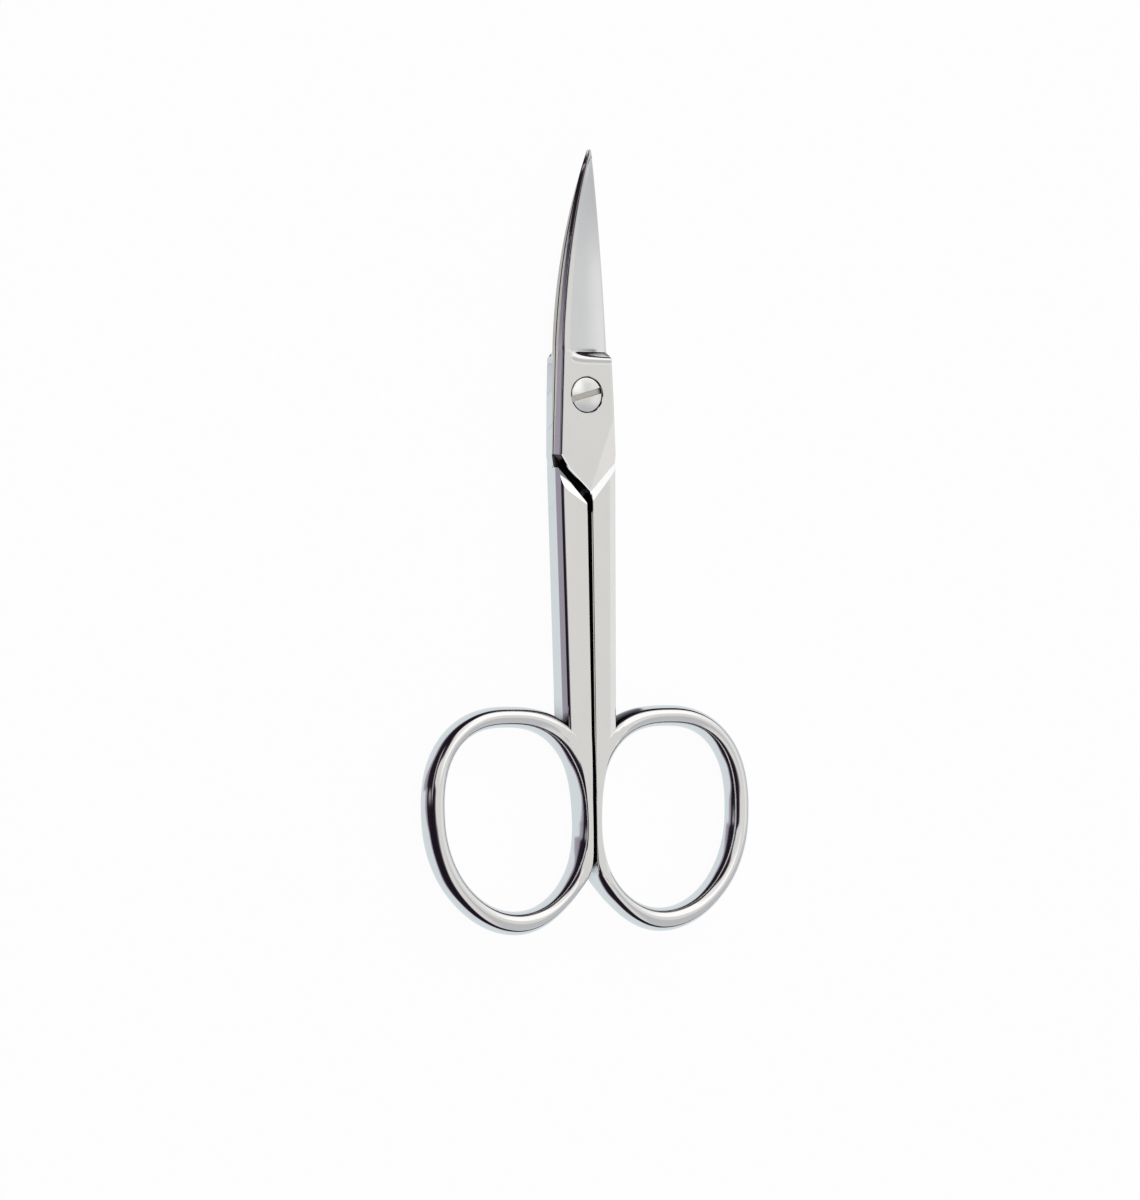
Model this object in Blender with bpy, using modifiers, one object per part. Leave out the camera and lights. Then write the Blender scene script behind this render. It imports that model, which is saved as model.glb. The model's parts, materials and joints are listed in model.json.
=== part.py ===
"""Manicure scissors with curved blades, closed and lying flat with the screw head up.

Each half is one forging: blade, joint plate, shank and finger bow. Both halves are made
by the same functions in the half's own frame, whose origin is on the joint axis: u runs
from the axis to the side of the half's own shank, y towards the tip and w from the lapped
face out to the half's own outer face. The rear half is that frame turned half a turn about y.
"""

import math

import bmesh
import bpy
from mathutils import Matrix, Vector

# Overall reach along the middle line, from the joint axis
TIP_REACH = 0.0281
BOW_REACH = 0.0618

# Running gaps between the pieces
LAP_GAP = 0.0001
SHANK_GAP = 0.00035
SHANK_GAP_AT_TOP = 0.0005
SCREW_GAP = 0.0001

# Ground blade: distances of the cutting edge and of the spine from the middle line
HEEL_REACH = 0.0046
BELLY_REACH = 0.0170
EDGE_AT_HEEL = 0.00354
EDGE_AT_BELLY = 0.00304
EDGE_AT_TIP = 0.00022
SPINE_AT_HEEL = 0.00305
SPINE_AT_BELLY = 0.00262
SPINE_AT_TIP = 0.00018
BLADE_THICK_AT_BELLY = 0.00135
BLADE_THICK_AT_TIP = 0.00045
LAND_WIDTH = 0.0006
LAND_AT_TIP = 0.0001
HOLLOW_DEPTH = 0.00013
HOLLOW_SHARES = (0.0, 0.06, 0.14, 0.25, 0.4, 0.6, 0.8, 1.0)
CUTTING_EDGE = 0.00005
TIP_ROUND = 0.00015
TIP_END_SHARE = 0.5
BLADE_STATIONS = 16

# Upward curve of the blades, a surface of revolution about the joint axis
BEND_START = 0.0050
TIP_LIFT = 0.00285

# Step from the joint plate down to the ground blade, with a polished lip that curls at its end
STEP_LIP = 0.00060
STEP_WALL = 0.00012
STEP_FOOT = 0.00035
STEP_REACH_SHARES = (0.0, 0.45, 0.85)
STEP_DEPTH_SHARES = (0.0, 0.05, 0.17, 0.86, 1.0)
LIP_CURL = 0.00045
LIP_CURL_POWER = 7

# Joint plate, with its spine side and its shank side from the free corner to the heel
PLATE_THICK = 0.0016
PLATE_CORNER_REACH = 0.0069
PLATE_BEND_REACH = 0.0086
PLATE_BEND_OFFSET = 0.0025
PLATE_POINT_REACH = 0.01115
PLATE_SPINE_AT_CORNER = 0.00362
PLATE_SPINE_AT_AXIS = 0.0033
PLATE_EDGE_AT_CORNER = 0.00378
PLATE_EDGE_AT_AXIS = 0.00360
PLATE_EDGE_BELOW_STEP = 0.00348
PLATE_EDGE_AT_HEEL = 0.00342
PLATE_ROUND = 0.00027
PLATE_DRAFT = 0.00008
PLATE_TAIL_REACH = 0.0132
CORNER_SHARE = 0.29

# Shallow facet on the plate's face towards the V step
FACET_OUTER_OFFSET = 0.0025
FACET_OUTER_REACH = 0.0053
FACET_INNER_REACH = 0.0112
FACET_SLOPE_SHARE = 0.05

# Shank
SHANK_THICK = 0.0038
SHANK_TOP_REACH = 0.0090
SHANK_AT_TOP = 0.00364
SHANK_AT_BOW = 0.00316
SHANK_ROUND = 0.00030
SHANK_CROWN = 0.0011
SHANK_CROWN_DROP = 0.00007
SHANK_RIDGE = 0.0001
SHANK_RIDGE_LEVEL = 0.00045
MEDIAL_ROUND = 0.00010
TAIL_SHARE = 0.55
TAIL_TUCK = 0.00015
TAIL_STATIONS = 8

# V shaped step on the outer face: its foot on the plate and its crest on the shank
STEP_FOOT_OUTER_REACH = 0.0080
STEP_FOOT_INNER_REACH = 0.01135
STEP_CREST_OUTER_REACH = 0.00835
STEP_CREST_INNER_REACH = 0.0128
STEP_PATCHES = 16
STEP_SPARE_PATCHES = 2

# Shoulder that faces the other half's plate, with a bevel that widens outwards
SHOULDER_OUTER_REACH = 0.00845
SHOULDER_INNER_REACH = 0.01265
BEVEL_OUTER_REACH = 0.01056
BEVEL_INNER_REACH = 0.0128
BEVEL_DROP = 0.0008
NEST_DEPTH_PAST_LAP = 0.0002

# Finger bow, given by its hole and by the width of its wall round the hole
HOLE_TOP_REACH = 0.0381
HOLE_WIDTH = 0.0179
BOW_MEDIAL_WALL = 0.00103
BOW_WALL_SIDE = 0.00222
BOW_WALL_SIDE_HIGH = 0.00214
BOW_WALL_TOP = 0.00240
BOW_WALL_CROTCH = 0.00270
BOW_WALL_PARTING = 0.00198
BOW_WALL_BOTTOM = 0.00270
BOW_WALL_SIDE_LOW = 0.00230
BOW_WALL_TURNS = (0, 45, 90, 130, 232, 270, 315, 360)
BOW_PARTING_POWER = 8
BOW_THICK = 0.0036
BOW_FLAT_THICK = 0.0040
BOW_LEAN = 0.0005
UPPER_ROUNDNESS = 2.49
LOWER_ROUNDNESS = 2.03
BOW_SECTION_ROUNDNESS = 2.3
BOW_FLAT_ROUNDNESS = 6.0
BOW_FACE_TURNS = (95, 140, 205, 245)
BOW_PARTING_TURNS = (126, 150, 195, 225)
BOW_STATIONS = 72
BOW_SECTION_POINTS = 16
BOW_TANGENT_SHARE = 0.25

# Pivot screw and its seat
HEAD_DIAMETER = 0.0040
HEAD_THICK = 0.0007
HEAD_CROWN = 0.00012
HEAD_CHAMFER = 0.0002
DOME_SHARES = (0.0, 0.4, 0.75)
PIN_DIAMETER = 0.0024
THREAD_DIAMETER = 0.0020
THREAD_END_SHORT = 0.00005
SLOT_WIDTH = 0.0007
SLOT_DEPTH = 0.00045
SLOT_TURN = math.radians(15.5)
SCREW_SIDES = 48

# Metal of the pieces
STEEL_COLOUR = (0.80, 0.79, 0.77)
STEEL_ROUGHNESS = 0.12
SCREW_COLOUR = (0.78, 0.78, 0.77)
SCREW_ROUGHNESS = 0.18
SHARP_ANGLE = math.radians(30)

# Allowances of the cuts
OVERRUN = 0.002
WELD = 0.0000001

# Sizes that follow from the ones above
LAP = LAP_GAP / 2
MEDIAL = SHANK_GAP / 2
MEDIAL_AT_TOP = SHANK_GAP_AT_TOP / 2
SHANK_HALF = SHANK_THICK / 2
HOLE_BOTTOM_REACH = BOW_REACH - BOW_WALL_BOTTOM
HOLE_HALF_WIDTH = HOLE_WIDTH / 2
HOLE_HALF_LENGTH = (HOLE_BOTTOM_REACH - HOLE_TOP_REACH) / 2
HOLE_CENTRE_U = MEDIAL + BOW_MEDIAL_WALL + HOLE_HALF_WIDTH
HOLE_CENTRE_Y = -(HOLE_BOTTOM_REACH + HOLE_TOP_REACH) / 2
BOW_WALLS = (
    BOW_WALL_SIDE,
    BOW_WALL_SIDE_HIGH,
    BOW_WALL_TOP,
    BOW_WALL_CROTCH,
    BOW_WALL_PARTING,
    BOW_WALL_BOTTOM,
    BOW_WALL_SIDE_LOW,
    BOW_WALL_SIDE,
)
PIVOT = Vector((0, (BOW_REACH - TIP_REACH) / 2, SHANK_HALF))

for leftover in list(bpy.data.objects):
    bpy.data.objects.remove(leftover, do_unlink=True)


def new_collection(name):
    """Add a collection to the scene."""
    collection = bpy.data.collections.new(name)
    bpy.context.scene.collection.children.link(collection)
    return collection


scissors = new_collection("manicure_scissors")
cutters = new_collection("cutters")


def steel(name, colour, roughness):
    """A polished metal for one piece."""
    material = bpy.data.materials.new(name)
    material.use_nodes = True
    shader = material.node_tree.nodes["Principled BSDF"]
    shader.inputs["Base Color"].default_value = (*colour, 1)
    shader.inputs["Metallic"].default_value = 1
    shader.inputs["Roughness"].default_value = roughness
    return material


def add_object(name, bm, collection):
    """Turn a bmesh into an object with its faces outwards."""
    bmesh.ops.recalc_face_normals(bm, faces=bm.faces)
    mesh = bpy.data.meshes.new(name)
    bm.to_mesh(mesh)
    bm.free()
    piece = bpy.data.objects.new(name, mesh)
    collection.objects.link(piece)
    return piece


def add_cutter(name, bm, turn):
    """A helper solid that joins or cuts a half, placed with it and left out of the model."""
    cutter = add_object(name, bm, cutters)
    cutter.matrix_world = turn
    cutter.hide_render = True
    cutter.display_type = "WIRE"
    return cutter


def combine(piece, cutter, operation):
    """Join a helper solid to a piece, or cut the piece by it."""
    boolean = piece.modifiers.new(cutter.name, "BOOLEAN")
    boolean.object = cutter
    boolean.operation = operation
    boolean.solver = "EXACT"


def loft(rings, closed=False):
    """Skin a row of rings that have equally many points."""
    bm = bmesh.new()
    loops = [[bm.verts.new(point) for point in ring] for ring in rings]
    following = loops[1:] + loops[:1] if closed else loops[1:]
    for here, there in zip(loops, following):
        for i in range(len(here)):
            j = (i + 1) % len(here)
            bm.faces.new((here[i], here[j], there[j], there[i]))
    if not closed:
        bm.faces.new(loops[0])
        bm.faces.new(loops[-1])
    bmesh.ops.recalc_face_normals(bm, faces=bm.faces)
    return bm


def slice_off(bm, point, normal, last_y=TIP_REACH):
    """Cut away what lies beyond a plane, among the faces up to last_y, and close the cut."""
    faces = [face for face in bm.faces if max(vert.co.y for vert in face.verts) <= last_y]
    edges = {edge for face in faces for edge in face.edges}
    verts = {vert for face in faces for vert in face.verts}
    geometry = list(verts) + list(edges) + faces
    beyond = Vector(normal).normalized()
    bmesh.ops.bisect_plane(
        bm, geom=geometry, dist=WELD, plane_co=point, plane_no=beyond, clear_outer=True
    )
    rim = [edge for edge in bm.edges if edge.is_boundary]
    bmesh.ops.holes_fill(bm, edges=rim, sides=0)
    bmesh.ops.recalc_face_normals(bm, faces=bm.faces)


def line_normal(outer, inner):
    """Upward normal, in plan, of a line between two (u, y) points."""
    along = (Vector(outer) - Vector(inner)).normalized()
    return Vector((-along.y, along.x))


def arch(t, start, middle, end):
    """A value on a quadratic Bezier curve."""
    return (1 - t) ** 2 * start + 2 * t * (1 - t) * middle + t**2 * end


def ease(value, start, end):
    """Smooth step from 0 to 1."""
    share = min(1, max(0, (value - start) / (end - start)))
    return share * share * (3 - 2 * share)


def between(value, stops, levels, eased=False):
    """Interpolation along increasing stops, straight or with smooth joints."""
    for i in range(len(stops) - 1):
        if value <= stops[i + 1]:
            share = max(0, (value - stops[i]) / (stops[i + 1] - stops[i]))
            share = ease(share, 0, 1) if eased else share
            return levels[i] + share * (levels[i + 1] - levels[i])
    return levels[-1]


def super_point(turn, across_roundness, along_roundness):
    """A point of a superellipse with a half width and half height of 1."""
    across = math.copysign(abs(math.cos(turn)) ** (2 / across_roundness), math.cos(turn))
    along = math.copysign(abs(math.sin(turn)) ** (2 / along_roundness), math.sin(turn))
    return across, along


def lift(u, y):
    """Height of the curved lapping surface above the joint, by distance from the axis."""
    past = max(0, math.hypot(u, y) - BEND_START) if y > 0 else 0
    return TIP_LIFT * (past / (TIP_REACH - BEND_START)) ** 2


def blade_ring(y, spine, edge, thick, land, corner, ground, curl, bend):
    """Section of the plate or blade: ground is 0 on the plate and 1 on the ground blade."""
    draft = PLATE_DRAFT * (1 - ground)
    land_end = -spine + max(land, corner)
    bevel_slope = (thick - LAP - CUTTING_EDGE) / (edge - land_end)
    deepest = HOLLOW_DEPTH * (edge + spine) / (EDGE_AT_HEEL + SPINE_AT_HEEL)

    def face(u, plate_level, hollow):
        bevel_level = thick - bevel_slope * (u - land_end) - hollow
        return plate_level + ground * (bevel_level - plate_level)

    outline = [
        (-spine - draft, LAP, curl),
        (-spine, thick - corner, curl),
        (-spine + corner * CORNER_SHARE, thick - corner * CORNER_SHARE, curl),
        (-spine + corner, thick, curl),
    ]
    for across in HOLLOW_SHARES:
        u = land_end + across * (edge - corner - land_end)
        hollow = deepest * (1 - (2 * across - 1) ** 2)
        outline.append((u, face(u, thick, hollow), curl * (1 - across) ** LIP_CURL_POWER))
    near_edge = edge - corner * CORNER_SHARE
    outline.append((near_edge, face(near_edge, thick - corner * CORNER_SHARE, 0), 0))
    outline.append((edge, face(edge, thick - corner, 0), 0))
    outline.append((edge + draft, LAP, 0))
    outline.append(((edge - spine) / 2, LAP, 0))
    return [(u, y + ahead, w + bend * lift(u, y + ahead)) for u, w, ahead in outline]


def plate_and_blade(bend):
    """The lapped joint plate and the hollow ground blade as one loft."""
    stops = (-PLATE_TAIL_REACH, -SHANK_TOP_REACH, -PLATE_CORNER_REACH, 0, HEEL_REACH)
    edges = (
        PLATE_EDGE_BELOW_STEP,
        PLATE_EDGE_BELOW_STEP,
        PLATE_EDGE_AT_CORNER,
        PLATE_EDGE_AT_AXIS,
        PLATE_EDGE_AT_HEEL,
    )
    spines = (
        PLATE_SPINE_AT_CORNER,
        PLATE_SPINE_AT_CORNER,
        PLATE_SPINE_AT_CORNER,
        PLATE_SPINE_AT_AXIS,
        SPINE_AT_HEEL,
    )
    lip = tuple(HEEL_REACH - STEP_LIP * (1 - share) for share in STEP_REACH_SHARES)
    foot = HEEL_REACH + STEP_WALL + STEP_FOOT
    step = lip + (HEEL_REACH + STEP_WALL, foot)
    rings = []
    for y in stops[:-1] + lip:
        ground = between(y, step, STEP_DEPTH_SHARES) if y > 0 else 0
        curl = LIP_CURL if y > 0 else 0
        section = (between(y, stops, spines), between(y, stops, edges), PLATE_THICK)
        rings.append(blade_ring(y, *section, LAND_WIDTH, PLATE_ROUND, ground, curl, bend))
    section = (SPINE_AT_HEEL, EDGE_AT_HEEL, PLATE_THICK, LAND_WIDTH, PLATE_ROUND)
    for y, ground in zip(step[len(lip):], STEP_DEPTH_SHARES[len(lip):]):
        rings.append(blade_ring(y, *section, ground, LIP_CURL, bend))
    for k in range(1, BLADE_STATIONS + 1):
        t = k / BLADE_STATIONS
        section = (
            arch(t, foot, BELLY_REACH, TIP_REACH - TIP_ROUND),
            arch(t, SPINE_AT_HEEL, SPINE_AT_BELLY, SPINE_AT_TIP),
            arch(t, EDGE_AT_HEEL, EDGE_AT_BELLY, EDGE_AT_TIP),
            arch(t, PLATE_THICK, BLADE_THICK_AT_BELLY, BLADE_THICK_AT_TIP),
            arch(t, LAND_WIDTH, LAND_WIDTH, LAND_AT_TIP),
            arch(t, PLATE_ROUND, PLATE_ROUND, LAND_AT_TIP),
        )
        rings.append(blade_ring(*section, 1, 0, bend))
    last = [Vector(point) for point in rings[-1]]
    centre = sum(last, Vector()) / len(last)
    end = centre + Vector((0, TIP_ROUND, 0))
    rings.append([end + (point - centre) * TIP_END_SHARE for point in last])
    bm = loft(rings)
    cut_free_edge(bm)
    outer = (FACET_OUTER_OFFSET, -FACET_OUTER_REACH)
    inner = (MEDIAL, -FACET_INNER_REACH)
    down = -line_normal(outer, inner)
    tilt = Vector((down.x * FACET_SLOPE_SHARE, down.y * FACET_SLOPE_SHARE, 1))
    slice_off(bm, (*inner, PLATE_THICK), tilt, last_y=0)
    return bm


def cut_free_edge(bm):
    """Cut the plate's free edge in two lines, down to its point, with an outer chamfer."""
    point = (MEDIAL, -PLATE_POINT_REACH)
    bend = (-PLATE_BEND_OFFSET, -PLATE_BEND_REACH)
    corner = (-PLATE_SPINE_AT_CORNER, -PLATE_CORNER_REACH)
    for low, high in ((point, bend), (bend, corner)):
        side = -line_normal(low, high)
        beyond = Vector((side.x, side.y, 0))
        slice_off(bm, (*high, 0), beyond)
        chamfer_start = Vector((*high, PLATE_THICK)) - beyond * PLATE_ROUND
        slice_off(bm, chamfer_start, beyond + Vector((0, 0, 1)))


def hole_point(turn):
    """A point of the bow's hole, by its turn in radians from the outermost side."""
    roundness = UPPER_ROUNDNESS if math.sin(turn) > 0 else LOWER_ROUNDNESS
    across, along = super_point(turn, roundness, roundness)
    u = HOLE_CENTRE_U + HOLE_HALF_WIDTH * across + BOW_LEAN * along
    return Vector((u, HOLE_CENTRE_Y + HOLE_HALF_LENGTH * along))


def hole_medial(y):
    """The hole's distance from the middle line, on its medial side."""
    along = min(1, max(-1, (y - HOLE_CENTRE_Y) / HOLE_HALF_LENGTH))
    roundness = UPPER_ROUNDNESS if along > 0 else LOWER_ROUNDNESS
    across = (1 - abs(along) ** roundness) ** (1 / roundness)
    return HOLE_CENTRE_U - HOLE_HALF_WIDTH * across + BOW_LEAN * along


def flatness(degrees, turns):
    """How far the bow's section has gone from round to ground flat."""
    first, full, fading, last = turns
    return ease(degrees, first, full) * (1 - ease(degrees, fading, last))


def finger_bow():
    """The oval ring, round where it is free and ground flat where it follows the middle line."""
    rings = []
    nudge = math.tau / BOW_STATIONS * BOW_TANGENT_SHARE
    for k in range(BOW_STATIONS):
        turn = math.tau * (k + 0.5) / BOW_STATIONS
        along = (hole_point(turn + nudge) - hole_point(turn - nudge)).normalized()
        outwards = Vector((along.y, -along.x))
        degrees = math.degrees(turn)
        wall = between(degrees, BOW_WALL_TURNS, BOW_WALLS, eased=True)
        if outwards.x < 0:
            room = (hole_point(turn).x - MEDIAL) / -outwards.x
            power = BOW_PARTING_POWER
            wall = (wall**-power + room**-power) ** (-1 / power)
        ground = flatness(degrees, BOW_FACE_TURNS)
        depth = (BOW_THICK + ground * (BOW_FLAT_THICK - BOW_THICK)) / 2
        centre = hole_point(turn) + outwards * wall / 2
        ring = []
        for j in range(BOW_SECTION_POINTS):
            angle = math.tau * (j + 0.5) / BOW_SECTION_POINTS
            flat = flatness(degrees, BOW_PARTING_TURNS) if math.cos(angle) > 0 else 0
            roundness = BOW_SECTION_ROUNDNESS + flat * (BOW_FLAT_ROUNDNESS - BOW_SECTION_ROUNDNESS)
            across, over = super_point(angle, roundness, roundness)
            place = centre + outwards * (across * wall / 2)
            ring.append((place.x, place.y, over * depth))
        rings.append(ring)
    bm = loft(rings, closed=True)
    for face in (1, -1):
        slice_off(bm, (0, 0, face * SHANK_HALF), (0, 0, face))
    return bm


def shank_ring(y, inner, outer):
    """Section of the shank, with a soft crown and a fine forging ridge on its side."""
    scale = min(1, (outer - inner) / (SHANK_AT_BOW - MEDIAL))
    medial_round = MEDIAL_ROUND * scale
    crown = SHANK_CROWN * scale
    edge = SHANK_ROUND * scale
    corner = edge * CORNER_SHARE
    upper = [
        (inner, SHANK_HALF - medial_round),
        (inner + medial_round, SHANK_HALF),
        (outer - crown, SHANK_HALF),
        (outer - edge, SHANK_HALF - SHANK_CROWN_DROP),
        (outer - corner, SHANK_HALF - SHANK_CROWN_DROP - corner),
        (outer, SHANK_HALF - SHANK_CROWN_DROP - edge),
    ]
    lower = [(u, -w) for u, w in reversed(upper)]
    outline = upper + [(outer + SHANK_RIDGE * scale, -SHANK_RIDGE_LEVEL)] + lower
    return [(u, y, w) for u, w in outline]


def shank():
    """The straight shank, with its tail inside the bow, and the shoulder's bevel cut on it."""
    rings = []
    crotch = -HOLE_TOP_REACH
    ends = (crotch, -SHANK_TOP_REACH)
    halfway = (crotch - PLATE_TAIL_REACH) / 2
    for y in (-PLATE_CORNER_REACH, -SHANK_TOP_REACH, -PLATE_TAIL_REACH, halfway, crotch):
        inner = between(y, ends, (MEDIAL, MEDIAL_AT_TOP))
        outer = between(y, ends, (SHANK_AT_BOW, SHANK_AT_TOP))
        rings.append(shank_ring(y, inner, outer))
    for k in range(1, TAIL_STATIONS + 1):
        y = crotch + (HOLE_CENTRE_Y - crotch) * k / TAIL_STATIONS
        inner = MEDIAL + TAIL_TUCK * (k / TAIL_STATIONS) ** 2
        outer = min(SHANK_AT_BOW, MEDIAL + TAIL_SHARE * (hole_medial(y) - MEDIAL))
        rings.append(shank_ring(y, inner, outer))
    bm = loft(rings)
    crest_outer = Vector((SHANK_AT_TOP, -BEVEL_OUTER_REACH, -SHANK_HALF))
    crest_inner = Vector((MEDIAL, -BEVEL_INNER_REACH, -SHANK_HALF))
    foot_outer = Vector((SHANK_AT_TOP, -SHOULDER_OUTER_REACH, BEVEL_DROP - SHANK_HALF))
    beyond = (foot_outer - crest_outer).cross(crest_inner - crest_outer)
    slice_off(bm, crest_inner, beyond if beyond.z < 0 else -beyond)
    return bm


def step_space():
    """The space over the plate, bounded by the V step's twisted bevel."""
    foot_outer = Vector((SHANK_AT_TOP, -STEP_FOOT_OUTER_REACH, PLATE_THICK))
    foot_inner = Vector((MEDIAL, -STEP_FOOT_INNER_REACH, PLATE_THICK))
    crest_outer = Vector((SHANK_AT_TOP, -STEP_CREST_OUTER_REACH, SHANK_HALF))
    crest_inner = Vector((MEDIAL, -STEP_CREST_INNER_REACH, SHANK_HALF))
    rings = []
    for k in range(-STEP_SPARE_PATCHES, STEP_PATCHES + STEP_SPARE_PATCHES + 1):
        foot = foot_outer.lerp(foot_inner, k / STEP_PATCHES)
        crest = crest_outer.lerp(crest_inner, k / STEP_PATCHES)
        top = crest + (crest - foot)
        bottom = foot - (crest - foot)
        far_bottom = Vector((bottom.x, OVERRUN, bottom.z))
        far_top = Vector((top.x, OVERRUN, top.z))
        rings.append([top, crest, foot, bottom, far_bottom, far_top])
    return loft(rings)


def nest_box():
    """The space for the other half's plate, bounded by the shoulder and the lapped face."""
    up = line_normal((SHANK_AT_TOP, -SHOULDER_OUTER_REACH), (MEDIAL, -SHOULDER_INNER_REACH))
    length = 2 * (SHOULDER_INNER_REACH + OVERRUN)
    breadth = SHOULDER_INNER_REACH
    bottom = -SHANK_HALF - OVERRUN
    top = LAP + NEST_DEPTH_PAST_LAP
    half_up = up * breadth / 2
    middle = Vector((MEDIAL + half_up.x, half_up.y - SHOULDER_INNER_REACH, (top + bottom) / 2))
    turn = Matrix.Rotation(math.atan2(-up.x, up.y), 4, "Z")
    size = Matrix.Diagonal((length, breadth, top - bottom, 1))
    bm = bmesh.new()
    bmesh.ops.create_cube(bm, size=1, matrix=Matrix.Translation(middle) @ turn @ size)
    return bm


def bore(diameter, bottom, top):
    """A round hole on the joint axis."""
    bm = bmesh.new()
    bmesh.ops.create_cone(
        bm,
        cap_ends=True,
        segments=SCREW_SIDES,
        radius1=diameter / 2,
        radius2=diameter / 2,
        depth=top - bottom,
        matrix=Matrix.Translation((0, 0, (top + bottom) / 2)),
    )
    return bm


def make_half(name, turn, bend, holes):
    """One forging: the shank with its nest, joined to plate, blade and bow, then bored."""
    half = add_object(name, shank(), scissors)
    half.matrix_world = turn
    combine(half, add_cutter(name + "_nest", nest_box(), turn), "DIFFERENCE")
    combine(half, add_cutter(name + "_step", step_space(), turn), "DIFFERENCE")
    combine(half, add_cutter(name + "_blade", plate_and_blade(bend), turn), "UNION")
    combine(half, add_cutter(name + "_bow", finger_bow(), turn), "UNION")
    for number, hole in enumerate(holes):
        combine(half, add_cutter(f"{name}_hole_{number}", bore(*hole), turn), "DIFFERENCE")
    half.data.materials.append(steel(name, STEEL_COLOUR, STEEL_ROUGHNESS))
    half.data.shade_smooth()
    half.data.set_sharp_from_angle(angle=SHARP_ANGLE)
    return half


def pivot_screw(turn):
    """A turned screw with a slotted head, lowered into the front half's counterbore."""
    head = HEAD_DIAMETER / 2
    pin = PIN_DIAMETER / 2
    thread = THREAD_DIAMETER / 2
    under_head = PLATE_THICK - HEAD_THICK
    dome = head - HEAD_CHAMFER
    outline = []
    for share in DOME_SHARES:
        outline.append((dome * share, PLATE_THICK + HEAD_CROWN * (1 - share**2)))
    outline += [
        (dome, PLATE_THICK),
        (head, PLATE_THICK - HEAD_CHAMFER),
        (head, under_head),
        (pin, under_head),
        (pin, LAP),
        (thread, -LAP),
        (thread, -PLATE_THICK + THREAD_END_SHORT + HEAD_CHAMFER),
        (thread - HEAD_CHAMFER, -PLATE_THICK + THREAD_END_SHORT),
        (0, -PLATE_THICK + THREAD_END_SHORT),
    ]
    bm = bmesh.new()
    points = [bm.verts.new((u, 0, w)) for u, w in outline]
    for first, second in zip(points, points[1:]):
        bm.edges.new((first, second))
    mesh = bpy.data.meshes.new("pivot_screw")
    bm.to_mesh(mesh)
    bm.free()
    screw = bpy.data.objects.new("pivot_screw", mesh)
    scissors.objects.link(screw)
    screw.matrix_world = turn
    spin = screw.modifiers.new("turned", "SCREW")
    spin.steps = SCREW_SIDES
    spin.render_steps = SCREW_SIDES
    spin.use_merge_vertices = True
    spin.merge_threshold = WELD
    floor = PLATE_THICK + HEAD_CROWN - SLOT_DEPTH
    size = Matrix.Diagonal((HEAD_DIAMETER + OVERRUN, SLOT_WIDTH, OVERRUN, 1))
    place = Matrix.Translation((0, 0, floor + OVERRUN / 2))
    bm = bmesh.new()
    bmesh.ops.create_cube(bm, size=1, matrix=place @ Matrix.Rotation(SLOT_TURN, 4, "Z") @ size)
    combine(screw, add_cutter("screw_slot", bm, turn), "DIFFERENCE")
    screw.data.materials.append(steel("pivot_screw", SCREW_COLOUR, SCREW_ROUGHNESS))
    return screw


facing_up = Matrix.Translation(PIVOT)
facing_down = facing_up @ Matrix.Rotation(math.pi, 4, "Y")
past = PLATE_THICK + OVERRUN
seat = PLATE_THICK - HEAD_THICK - SCREW_GAP
pin_hole = (PIN_DIAMETER + 2 * SCREW_GAP, -past, past)
counterbore = (HEAD_DIAMETER + 2 * SCREW_GAP, seat, past)
thread_hole = (THREAD_DIAMETER + 2 * SCREW_GAP, -past, past)
make_half("front_half", facing_up, 1, (pin_hole, counterbore))
make_half("rear_half", facing_down, -1, (thread_hole,))
pivot_screw(facing_up)
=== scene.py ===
import json
import math

import bmesh
import bpy
from mathutils import Matrix, Vector


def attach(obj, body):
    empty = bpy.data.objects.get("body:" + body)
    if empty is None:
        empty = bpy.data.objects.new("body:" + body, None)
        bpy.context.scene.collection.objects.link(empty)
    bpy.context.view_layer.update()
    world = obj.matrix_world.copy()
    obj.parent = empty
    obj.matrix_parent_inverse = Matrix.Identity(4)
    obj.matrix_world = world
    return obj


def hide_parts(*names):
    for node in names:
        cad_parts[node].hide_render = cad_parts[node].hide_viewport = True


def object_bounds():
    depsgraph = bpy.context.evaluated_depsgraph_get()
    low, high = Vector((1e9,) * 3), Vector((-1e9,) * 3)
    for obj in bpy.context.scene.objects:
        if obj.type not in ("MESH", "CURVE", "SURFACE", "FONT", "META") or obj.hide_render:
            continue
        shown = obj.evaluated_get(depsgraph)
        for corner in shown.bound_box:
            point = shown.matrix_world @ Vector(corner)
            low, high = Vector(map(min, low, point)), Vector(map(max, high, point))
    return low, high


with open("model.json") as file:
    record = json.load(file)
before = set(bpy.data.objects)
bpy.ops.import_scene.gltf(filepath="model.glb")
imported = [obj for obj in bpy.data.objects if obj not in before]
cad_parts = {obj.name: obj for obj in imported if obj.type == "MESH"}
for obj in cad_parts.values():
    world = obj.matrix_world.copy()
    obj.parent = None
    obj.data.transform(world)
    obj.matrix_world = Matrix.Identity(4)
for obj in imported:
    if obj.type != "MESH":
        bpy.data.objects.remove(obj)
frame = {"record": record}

# %% [markdown]
# Manicure scissors are two steel forgings and one screw. The imported part already has their true
# shapes and sizes, but its surfaces are made of few, large faces. Polished metal mirrors its
# surroundings, and every flat face would show as a flat patch in the mirror. So each forging is
# skinned again here from the same sizes with many more sections, and takes the place of its node.
# The box of the imported part is read first: it gives the reach of the tip and of the bows.

# %% The part's own box
part_low, part_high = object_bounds()
print("part box:", part_low, part_high)

# %% [markdown]
# The photograph looks down on the scissors from about 31 degrees to their left, through a long
# lens. A camera can be aimed by eye, but here it is placed by that angle and by the number of
# pixels that a metre of the object covers. Its shift slides the picture without turning it.

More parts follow.
